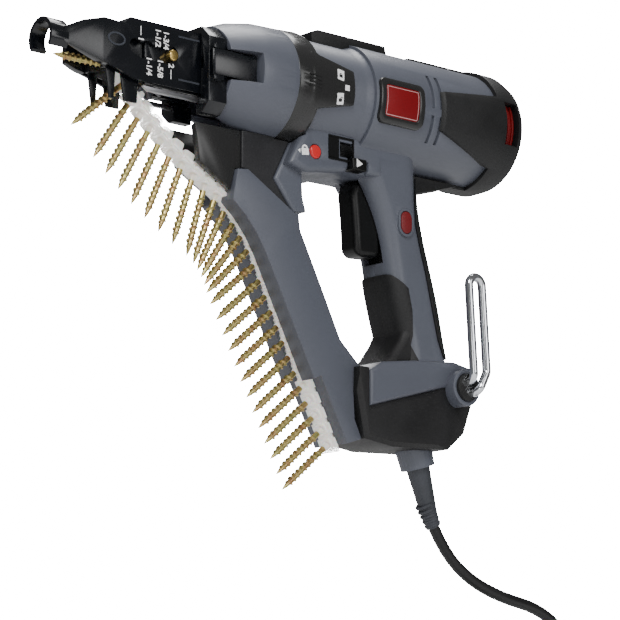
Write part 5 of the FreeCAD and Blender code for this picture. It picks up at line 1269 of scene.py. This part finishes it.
@dataclass
class ScrewStrip:
    """The milky strip and its screws, from the nose to the foot of the arm."""

    start: Flat = (-0.2115, 0.109)
    start_heading: float = -90.0
    lead: float = 0.004
    nose_radius: float = 0.019
    nose_turn: float = 42.8
    span_radius: float = 0.217
    span_turn: float = 19.5
    arm_radius: float = 0.086
    arm_turn: float = 34.3
    first: float = 0.0037
    pitch: float = 0.0096
    run: float = 0.275
    tilt: float = 12.0
    head_top: float = -0.0044
    head_depth: float = 0.0052
    head_radius: float = 0.0041
    neck_share: float = 1.3
    shank_radius: float = 0.00178
    thread_radius: float = 0.0025
    thread_pitch: float = 0.0036
    thread_start: float = 0.012
    thread_foot: float = 0.0009
    thread_root: float = 0.0003
    sunk: float = 0.0001
    tip: float = 0.0464
    tip_blunt: float = 0.0001
    tip_bare: float = 0.001
    point: float = 0.008
    point_end: float = 0.003
    point_share: float = 0.55
    segments: int = 32
    sleeve_long: float = 0.0040
    span_sleeve_wide: float = 0.0060
    arm_sleeve_wide: float = 0.0047
    free_start: Point = (-0.2064, 0.0, 0.0921)
    free_end: Point = (-0.148, 0.0, 0.0474)

    HEAD_SHARES = ((0.96, 0.0), (1.0, 0.07), (0.99, 0.12), (0.82, 0.3), (0.62, 0.5), (0.5, 0.72), (0.43, 1.0))
    RECESS = ((0.45, 0.0021), (0.9, 0.0016), (1.0, 0.0))
    RECESS_ARMS = (0.46, 0.17)
    BOX_LEVELS = ((-0.0056, 0.86), (-0.0052, 0.95), (-0.0046, 0.98), (0.0008, 1.0), (0.0014, 0.95),
                  (0.0017, 0.86))
    COLLAR_LEVELS = ((0.0018, 0.62), (0.0046, 0.52), (0.0050, 0.44))

    def path(self) -> List[Point]:
        """The strip's line.

        Returns:
            Points a millimetre apart.
        """
        x, z = self.start
        heading = self.start_heading
        points = []
        stages = ((self.lead, 0.0), (self.nose_radius * math.radians(self.nose_turn), self.nose_turn),
                  (self.span_radius * math.radians(self.span_turn), self.span_turn),
                  (self.arm_radius * math.radians(self.arm_turn), -self.arm_turn), (self.run, 0.0))
        for length, turn in stages:
            count = max(1, round(length / MM))
            for _ in range(count):
                points.append((x, 0.0, z))
                heading += turn / count / 2
                x += length / count * math.cos(math.radians(heading))
                z += length / count * math.sin(math.radians(heading))
                heading += turn / count / 2
        return points

    def screw(self) -> bpy.types.Mesh:
        """One screw with a bugle head, a cross recess and a coarse thread.

        Returns:
            The screw, its tip along Z.
        """
        profile = [(self.head_radius * wide, self.head_top + self.head_depth * deep)
                   for wide, deep in self.HEAD_SHARES]
        profile += [(self.shank_radius, self.head_top + self.head_depth * self.neck_share),
                    (self.shank_radius, self.tip - self.point),
                    (self.shank_radius * self.point_share, self.tip - self.point_end),
                    (self.tip_blunt, self.tip)]
        cross = crossed(self.segments, *self.RECESS_ARMS)
        rings = [[(self.head_radius * far * across, self.head_radius * far * up, self.head_top + deep)
                  for across, up in cross] for far, deep in self.RECESS]
        rings += [[(far * across, far * up, deep) for across, up in circle(self.segments)]
                  for far, deep in profile]
        core = ring_mesh("screw_core", rings)
        shape = bmesh.new()
        shape.from_mesh(core)
        self.thread(shape)
        bpy.data.meshes.remove(core)
        return to_mesh("screw_form", shape)

    def thread(self, shape: bmesh.types.BMesh) -> None:
        """Adds a helical ridge round the shank.

        Args:
            shape: the screw's bmesh, which gets the ridge.
        """
        begin = self.head_top + self.thread_start
        long = self.tip - self.tip_bare - begin
        steps_per_turn, run_in, least, core_least = 12, 6, 0.05, 0.00005
        turns = long / self.thread_pitch
        count = round(turns * steps_per_turn)
        rows = []
        for index in range(count + 1):
            part = index / count
            angle = FULL_TURN * turns * part
            deep = begin + long * part
            pointed = min(1.0, (self.tip - deep) / self.point)
            taper = min(pointed, part * count / run_in)
            core = self.shank_radius * pointed - self.sunk
            crest = core + (self.thread_radius - self.shank_radius + self.thread_root) * max(taper, least)
            around = Vector((math.cos(angle), math.sin(angle), 0))
            foot = max(core, core_least)
            spots = ((foot, -self.thread_foot), (crest, 0.0), (foot, self.thread_foot))
            rows.append([shape.verts.new(around * far + Vector((0, 0, deep + lift))) for far, lift in spots])
        made = []
        for first, second in zip(rows, rows[1:]):
            for low, high in ((0, 1), (1, 2), (2, 0)):
                made.append(shape.faces.new((first[low], first[high], second[high], second[low])))
        made.append(shape.faces.new(rows[0]))
        made.append(shape.faces.new(rows[-1]))
        bmesh.ops.recalc_face_normals(shape, faces=made)

    def build(self, rows: RowTree) -> None:
        """Sets the screws and the strip.

        Args:
            rows: the tree that sets copies along a path.
        """
        form = self.screw()
        span_sleeve, arm_sleeve = self.sleeve(self.span_sleeve_wide), self.sleeve(self.arm_sleeve_wide)
        path = self.path()
        lean = math.tan(math.radians(self.tilt))
        groups = (("nose_screw", "nose_screw", form, Finishes.ZINC, 0, 1),
                  ("span_screws", "span_screws", form, Finishes.ZINC, 1, 7),
                  ("arm_screws", "arm_row_screws", form, Finishes.ZINC, 8, 20),
                  ("span_sleeves", None, span_sleeve, Finishes.SLEEVE, 2, 6),
                  ("arm_sleeves", None, arm_sleeve, Finishes.SLEEVE, 8, 20))
        for name, node, shape, finish, index, count in groups:
            mesh = rows.lay(name, path, shape, First=self.first + index * self.pitch, Spacing=self.pitch,
                            Count=count, Lean=lean if index else 0.0, Finish=finish.value.material())
            spans = name.startswith("span")
            body = None if spans else BODY_OF_NODE[node or "arm_row_screws"]
            piece = keep(f"{name}_row", mesh, finish, body, *([node] if node else []))
            if spans:
                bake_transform(piece)
        for used in (form, span_sleeve, arm_sleeve):
            bpy.data.meshes.remove(used)
        milky = to_mesh("screw_strip_milky", merged("screw_strip"))
        tape = keep("screw_strip_milky", milky, Finishes.STRIP, None, "screw_strip")
        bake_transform(tape)

    def sleeve(self, half_wide: float) -> bpy.types.Mesh:
        """The moulded sleeve that holds one screw's head, with a collar down its shank.

        Args:
            half_wide: half its size across the strip.

        Returns:
            The sleeve, its collar along Z.
        """
        count, box_power, collar_power, collar_swell = 36, 2 / 5, 2 / 2, 1.1
        rings = []
        for levels, power, wide in ((self.BOX_LEVELS, box_power, half_wide),
                                    (self.COLLAR_LEVELS, collar_power, self.sleeve_long * collar_swell)):
            outline = [[math.copysign(abs(part) ** power, part) for part in spot] for spot in circle(count)]
            rings += [[(share * self.sleeve_long * along, share * wide * across, level)
                       for along, across in outline] for level, share in levels]
        return ring_mesh("sleeve_form", rings)


@dataclass
class NoseUnit:
    """Nose slide, screw length plate, feed wheels, clamp, bars and latch."""

    break_width: float = 0.5 * MM
    rail_break: float = 0.3 * MM
    tooth_break: float = 0.2 * MM
    spring_front: float = -0.159
    spring_rear: float = -0.0872
    tick: float = 5.4 * MM
    tick_share: float = 0.09
    letter: float = 5.2 * MM
    boss_spot: Flat = (-0.2245, 0.1165)
    boss_size: float = 6.2 * MM
    boss_steps: int = 40
    boss_tall: float = 0.62
    boss_inner: Flat = (0.8, 0.74)
    rib_share: float = 0.07
    stand: float = 0.28 * MM
    ring_gap: Tuple[Point, Point] = ((-0.2565, 0.003, 0.098), (-0.2420, 0.030, 0.122))

    SCALE = (("1", (-0.2077, 0.1196)), ("1-1/2", (-0.1957, 0.1226)), ("1-3/4", (-0.1900, 0.1222)),
             ("1-1/4", (-0.2018, 0.1050)), ("1-5/8", (-0.1940, 0.1050)), ("2", (-0.1862, 0.1079)))
    TICKS = ((-0.2077, 0.1244), (-0.1862, 0.1030))
    RIBS = ((-0.1735, 0.1010, 0.0150), (-0.1735, 0.1262, 0.0150))

    def build(self) -> None:
        """Softens and finishes the nose's pieces."""
        for node in ("nose_slide", "guide_clamp", "latch_lever"):
            softened(node, Finishes.NOSE, self.break_width)
        softened("length_plate", Finishes.NOSE, self.break_width, cut=self.ring_gap)
        softened("length_button", Finishes.BRASS, self.rail_break)
        softened("guide_rail", Finishes.STEEL, self.rail_break)
        softened("feed_sprocket", Finishes.DARK_STEEL, self.tooth_break)
        dress(Finishes.STEEL, "driver_bit")
        wire = to_mesh("return_spring_wire", merged("return_spring"))
        spring = keep("return_spring_wire", wire, Finishes.STEEL, None, "return_spring")
        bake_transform(spring)
        self.dress_plate()

    def dress_plate(self) -> None:
        """Adds the printed scale, and the oval boss and rear ribs of the length plate in a lighter copy of the
        nose plastic, a painted highlight.
        """
        skin = Skin(depth=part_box("length_plate")[0][1])
        scale = Marks(skin)
        for label, spot in self.SCALE:
            scale.add(lettering(label), spot, self.letter, -90)
        for spot in self.TICKS:
            scale.add(cut_out(bar(1, self.tick_share)), spot, self.tick, 90)
        scale.keep("length_scale_print", Finishes.INK, "length_stop")
        boss = Marks(skin, self.stand)
        wide, tall = self.boss_inner
        oval = [(across, self.boss_tall * up) for across, up in circle(self.boss_steps)]
        for first, second in zip(oval, oval[1:] + oval[:1]):
            inside = [(wide * across, tall * up) for across, up in (second, first)]
            boss.add(cut_out([first, second, *inside]), self.boss_spot, self.boss_size)
        # The boss and ribs take the lighter nose copy, a painted highlight on their outlines.
        boss.keep("plate_oval_boss", Finishes.NOSE_PAINTED_HIGHLIGHT, "length_stop")
        ribs = Marks(skin, self.stand)
        for x, z, long in self.RIBS:
            ribs.add(cut_out(bar(1, self.rib_share)), (x, z), long)
        ribs.keep("plate_ribs", Finishes.NOSE_PAINTED_HIGHLIGHT, "length_stop")


@dataclass
class Barrel:
    """Dome, collar, gear case, rail, cap, badge and half shells."""

    break_width: float = 0.6 * MM
    plate_break: float = 0.3 * MM
    tongue_radius: float = 35.3 * MM
    collar_radius: float = 35.9 * MM
    icon: float = 6.6 * MM
    icon_x: float = -0.0762
    icon_share: float = 0.45
    icon_drop: float = 0.0002
    icon_stand: float = 0.14 * MM
    mark_spot: Flat = (-0.0715, 0.1118)
    mark_share: float = 0.5
    rib_spot: Flat = (-0.0965, 0.1085)
    rib_step: float = 0.0022
    rib_count: int = 4
    rib_long: float = 9 * MM
    rib_share: float = 0.1
    rib_stand: float = 0.5 * MM
    badge_corner: float = 4.6 * MM
    plate_corner: float = 2.2 * MM
    plate_lap: float = 0.3 * MM
    frame_stand: float = 0.3 * MM
    frame_root: float = 4.0 * MM
    frame_shoulder: float = 0.8 * MM
    frame_round: float = 0.3 * MM
    frame_slope: float = 0.9 * MM
    frame_lip: float = 0.2 * MM
    border_inset: float = 1.3 * MM
    border_width: float = 0.22 * MM
    border_stand: float = 0.05 * MM
    border_steps: int = 8
    screw_segments: int = 32
    shank_share: float = 0.5
    point_share: float = 0.1
    point_long: float = 1.5 * MM

    FIELD = ((-0.38, -0.5), (0.32, -0.5), (0.38, -0.4), (0.38, 0.5), (-0.32, 0.5), (-0.38, 0.4))
    PADLOCKS = ((0.1190, -8, 0.0), (0.1046, 8, 0.3))
    RECESS_ARMS = (0.62, 0.2)
    RECESS = ((0.3, -1.5 * MM), (0.8, -1.1 * MM), (0.9, 0.0))
    HEAD = ((0.88, 0.0), (1.0, -0.3 * MM), (1.0, -2.2 * MM), (0.5, -2.4 * MM))

    def build(self) -> None:
        """Softens and finishes the barrel's pieces."""
        for node in ("front_dome", "gear_case", "housing_left", "housing_right"):
            softened(node, Finishes.BODY, self.break_width)
        softened("lock_collar", Finishes.BLACK_PLASTIC, self.break_width)
        for node in ("top_rail", "rear_cap"):
            softened(node, Finishes.RUBBER, self.break_width)
        self.frame_badge()
        softened("badge_plate", Finishes.BADGE_RED, self.plate_break)
        # The vent baffle takes the darker red copy, painted shade.
        softened("vent_baffle", Finishes.VENT_RED_PAINTED_SHADE, self.plate_break)
        self.dress_collar()
        self.dress_badge()
        self.set_screws()

    def dress_collar(self) -> None:
        """Adds the padlock icons, the setting mark and the finger ribs of the collar."""
        skin = Skin(radius=self.tongue_radius)
        fields = Marks(skin)
        icons = Marks(skin, self.icon_stand)
        for height, turn, shift in self.PADLOCKS:
            fields.add(cut_out(self.FIELD), (self.icon_x, height), self.icon, turn)
            spot = (self.icon_x, height - self.icon_drop)
            icons.add(padlock(shift), spot, self.icon_share * self.icon, turn)
        fields.add(cut_out(bar(1, 1)), self.mark_spot, self.mark_share * self.icon)
        fields.keep("collar_fields", Finishes.INK, "collar")
        icons.keep("collar_icons", Finishes.DARK_INK, "collar")
        ribs = Marks(Skin(radius=self.collar_radius), self.rib_stand)
        for step in range(self.rib_count):
            spot = (self.rib_spot[0], self.rib_spot[1] + self.rib_step * step)
            ribs.add(cut_out(bar(1, self.rib_share)), spot, self.rib_long)
        ribs.keep("collar_finger_ribs", Finishes.BLACK_PLASTIC, "collar")

    def frame_badge(self) -> None:
        """Puts a frame with round corners round the bare badge plate."""
        low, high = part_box("badge_frame")
        skin = Skin(radius=-low[1])
        middle, wide, tall = facing(low, high)
        _, plate_wide, plate_tall = facing(*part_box("badge_plate"))
        outside = (wide, tall, self.badge_corner)
        inside = (plate_wide - self.plate_lap, plate_tall - self.plate_lap, self.plate_corner)
        steps = ((outside, 0.0, -self.frame_root), (outside, 0.0, -self.frame_shoulder),
                 (outside, -self.frame_round, 0.0), (outside, -self.frame_slope, self.frame_stand),
                 (inside, self.frame_slope, self.frame_stand), (inside, self.frame_lip, 0.0),
                 (inside, 0.0, -self.frame_shoulder), (inside, 0.0, -self.frame_root))
        rings = []
        for sizes, grow, proud in steps:
            outline = rounded(*(size + grow for size in sizes))
            rings.append([skin.spot(middle[0] + across, middle[1] + up, proud) for across, up in outline])
        mesh = ring_mesh("badge_frame_round", rings, False)
        keep("badge_frame_round", mesh, Finishes.BLACK_PLASTIC, "tool_body", "badge_frame")

    def dress_badge(self) -> None:
        """Adds the fine border line of the bare badge plate."""
        low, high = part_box("badge_plate")
        border = Marks(Skin(radius=-low[1]), self.border_stand)
        middle, wide, tall = facing(low, high)
        half_long, half_tall = wide - self.border_inset, tall - self.border_inset
        line = 2 * self.border_width
        level, upright = bar(2 * half_long, line), bar(line, 2 * half_tall / self.border_steps)
        for side in (-1, 1):
            border.add(cut_out(level), (middle[0], middle[1] + side * half_tall), 1.0)
            for step in range(self.border_steps):
                height = middle[1] - half_tall + half_tall * (2 * step + 1) / self.border_steps
                border.add(cut_out(upright), (middle[0] + side * half_long, height), 1.0)
        border.keep("badge_border_line", Finishes.PALE_LINE, "tool_body")

    def set_screws(self) -> None:
        """Replaces the case screws with ones that have a cross recess in their heads."""
        source = merged("case_screws")
        shape = bmesh.new()
        left = dict.fromkeys(source.verts)
        while left:
            group = [next(iter(left))]
            del left[group[0]]
            for vert in group:
                for edge in vert.link_edges:
                    near = edge.other_vert(vert)
                    if near in left:
                        del left[near]
                        group.append(near)
            spots = [vert.co for vert in group]
            low = Vector([min(spot[axis] for spot in spots) for axis in range(3)])
            high = Vector([max(spot[axis] for spot in spots) for axis in range(3)])
            self.cross_screw(shape, low, high)
        source.free()
        mesh = to_mesh("case_screws_crossed", shape)
        keep("case_screws_crossed", mesh, Finishes.DARK_STEEL, "tool_body", "case_screws")

    def cross_screw(self, shape: bmesh.types.BMesh, low: Vector, high: Vector) -> None:
        """Adds one case screw between two corners, its head towards the right side.

        Args:
            shape: the bmesh that gets the screw.
            low: its lowest corner.
            high: its highest corner.
        """
        middle, head, _ = facing(low, high)
        cross, whole = crossed(self.screw_segments, *self.RECESS_ARMS), circle(self.screw_segments)
        tip = low.y - high.y
        shank = ((self.shank_share, tip + self.point_long), (self.point_share, tip))
        rings = [[(middle[0] + head * share * across, high.y + level, middle[1] + head * share * up)
                  for across, up in outline]
                 for outline, levels in ((cross, self.RECESS), (whole, self.HEAD + shank))
                 for share, level in levels]
        screw = ring_mesh("case_screw", rings)
        shape.from_mesh(screw)
        bpy.data.meshes.remove(screw)


@dataclass
class Handle:
    """Grip insets, trigger and the finger controls."""

    break_width: float = 0.5 * MM
    trigger_round: float = 3.0 * MM
    wheel_break: float = 0.25 * MM
    button_round: float = 1.2 * MM
    button_stand: float = 0.8 * MM
    bezel_stand: float = 0.5 * MM
    base_side: float = 19.1 * MM
    base_top: float = -42.3 * MM
    trim_reach: float = 0.01
    trim_foot: float = -0.06
    lock_spot: Flat = (-0.0921, 0.0740)
    lock_size: float = 6.4 * MM
    lock_turn: float = 8
    pointer_spot: Flat = (-0.0954, 0.0728)
    pointer_size: float = 2.6 * MM
    arrow_spot: Flat = (-0.0533, 0.0710)
    arrow_size: float = 4.4 * MM

    POINTER = ((-0.8, 0.0), (-0.1, 0.5), (-0.1, -0.5))
    ARROW = ((-0.5, -0.6), (0.6, 0.0), (-0.5, 0.6))
    BEZEL = (((-0.0640, 0.0856), 0.0200, 0.0014), ((-0.0640, 0.0722), 0.0200, 0.0014),
             ((-0.0700, 0.0789), 0.0080, 0.0124), ((-0.0546, 0.0789), 0.0012, 0.0124))

    def build(self) -> None:
        """Softens and finishes the handle's pieces."""
        for node, side in (("grip_left", -1), ("grip_right", 1)):
            near, far = sorted((side * self.base_side, side * 2 * self.base_side))
            trim = ((-self.trim_reach, near, self.trim_foot), (self.trim_reach, far, self.base_top))
            softened(node, Finishes.RUBBER, self.break_width, cut=trim)
        softened("rear_grip_strip", Finishes.RUBBER, self.break_width)
        softened("trigger", Finishes.TRIGGER, self.trigger_round, segments=5)
        softened("depth_wheel", Finishes.TRIGGER, self.wheel_break)
        softened("reverse_selector", Finishes.TRIGGER, self.break_width)
        softened("lock_button", Finishes.DULL_RED, self.break_width)
        softened("release_button", Finishes.RED, self.button_round, segments=4)
        self.dress_controls()

    def dress_controls(self) -> None:
        """Adds the printed icons beside the release button and on the selector, and the wheel's bezel."""
        icon = Marks(Skin(depth=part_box("release_button")[0][1] + self.button_stand))
        icon.add(padlock(0.0), self.lock_spot, self.lock_size, self.lock_turn)
        icon.add(cut_out(self.POINTER), self.pointer_spot, self.pointer_size)
        icon.keep("neck_icon", Finishes.INK, "tool_body")
        arrow = Marks(Skin(depth=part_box("reverse_selector")[0][1]))
        arrow.add(cut_out(self.ARROW), self.arrow_spot, self.arrow_size)
        arrow.keep("selector_arrow", Finishes.INK, "selector")
        bezel = Marks(icon.skin, self.bezel_stand)
        for spot, long, tall in self.BEZEL:
            bezel.add(cut_out(bar(long, tall)), spot, 1.0)
        bezel.keep("wheel_bezel", Finishes.TRIGGER, "tool_body")


@dataclass
class Foot:
    """Rubber boot, hook boss, keyed socket and wire hook."""

    break_width: float = 0.6 * MM
    socket_break: float = 0.3 * MM
    wire_break: float = 0.2 * MM

    def build(self) -> None:
        """Softens and finishes the foot's pieces."""
        softened("base_boot", Finishes.RUBBER, self.break_width)
        softened("hook_boss", Finishes.BODY, self.break_width)
        softened("hook_socket", Finishes.BLACK_PLASTIC, self.socket_break)
        softened("belt_hook", Finishes.CHROME, self.wire_break)


@dataclass
class MagazineArm:
    """The two arm halves, the neck panel and the strip guide."""

    break_width: float = 0.6 * MM

    def build(self) -> None:
        """Softens and finishes the arm's pieces."""
        for node in ("arm_left", "arm_right"):
            softened(node, Finishes.BODY, self.break_width)
        softened("arm_panel", Finishes.PANEL_RUBBER, self.break_width)
        softened("strip_guide", Finishes.BLACK_PLASTIC, self.break_width)


@dataclass
class DriveTrain:
    """The hidden motor, gears, bearings and switch."""

    def build(self) -> None:
        """Finishes the hidden pieces where they are."""
        dress(Finishes.STEEL, "motor_shaft", "layshaft", "spindle_gear", "spindle", "spindle_bearing",
              "motor_bearings")
        dress(Finishes.DARK_STEEL, "bearing_plate", "armature_core", "stator")
        dress(Finishes.COPPER, "commutator", "brush_holders")
        dress(Finishes.BLACK_PLASTIC, "cooling_fan", "switch_body")


def main() -> None:
    """Builds the scene's sub-assemblies in order."""
    logging.basicConfig(level=logging.INFO, format="%(message)s")
    rows = RowTree()
    Studio().build()
    PowerCord().build(rows)
    ScrewStrip().build(rows)
    for unit in (NoseUnit(), Barrel(), Handle(), Foot(), MagazineArm(), DriveTrain()):
        log.info("unit %s", type(unit).__name__)
        unit.build()
    bpy.data.node_groups.remove(rows.tree)


if __name__ == "__main__":
    main()
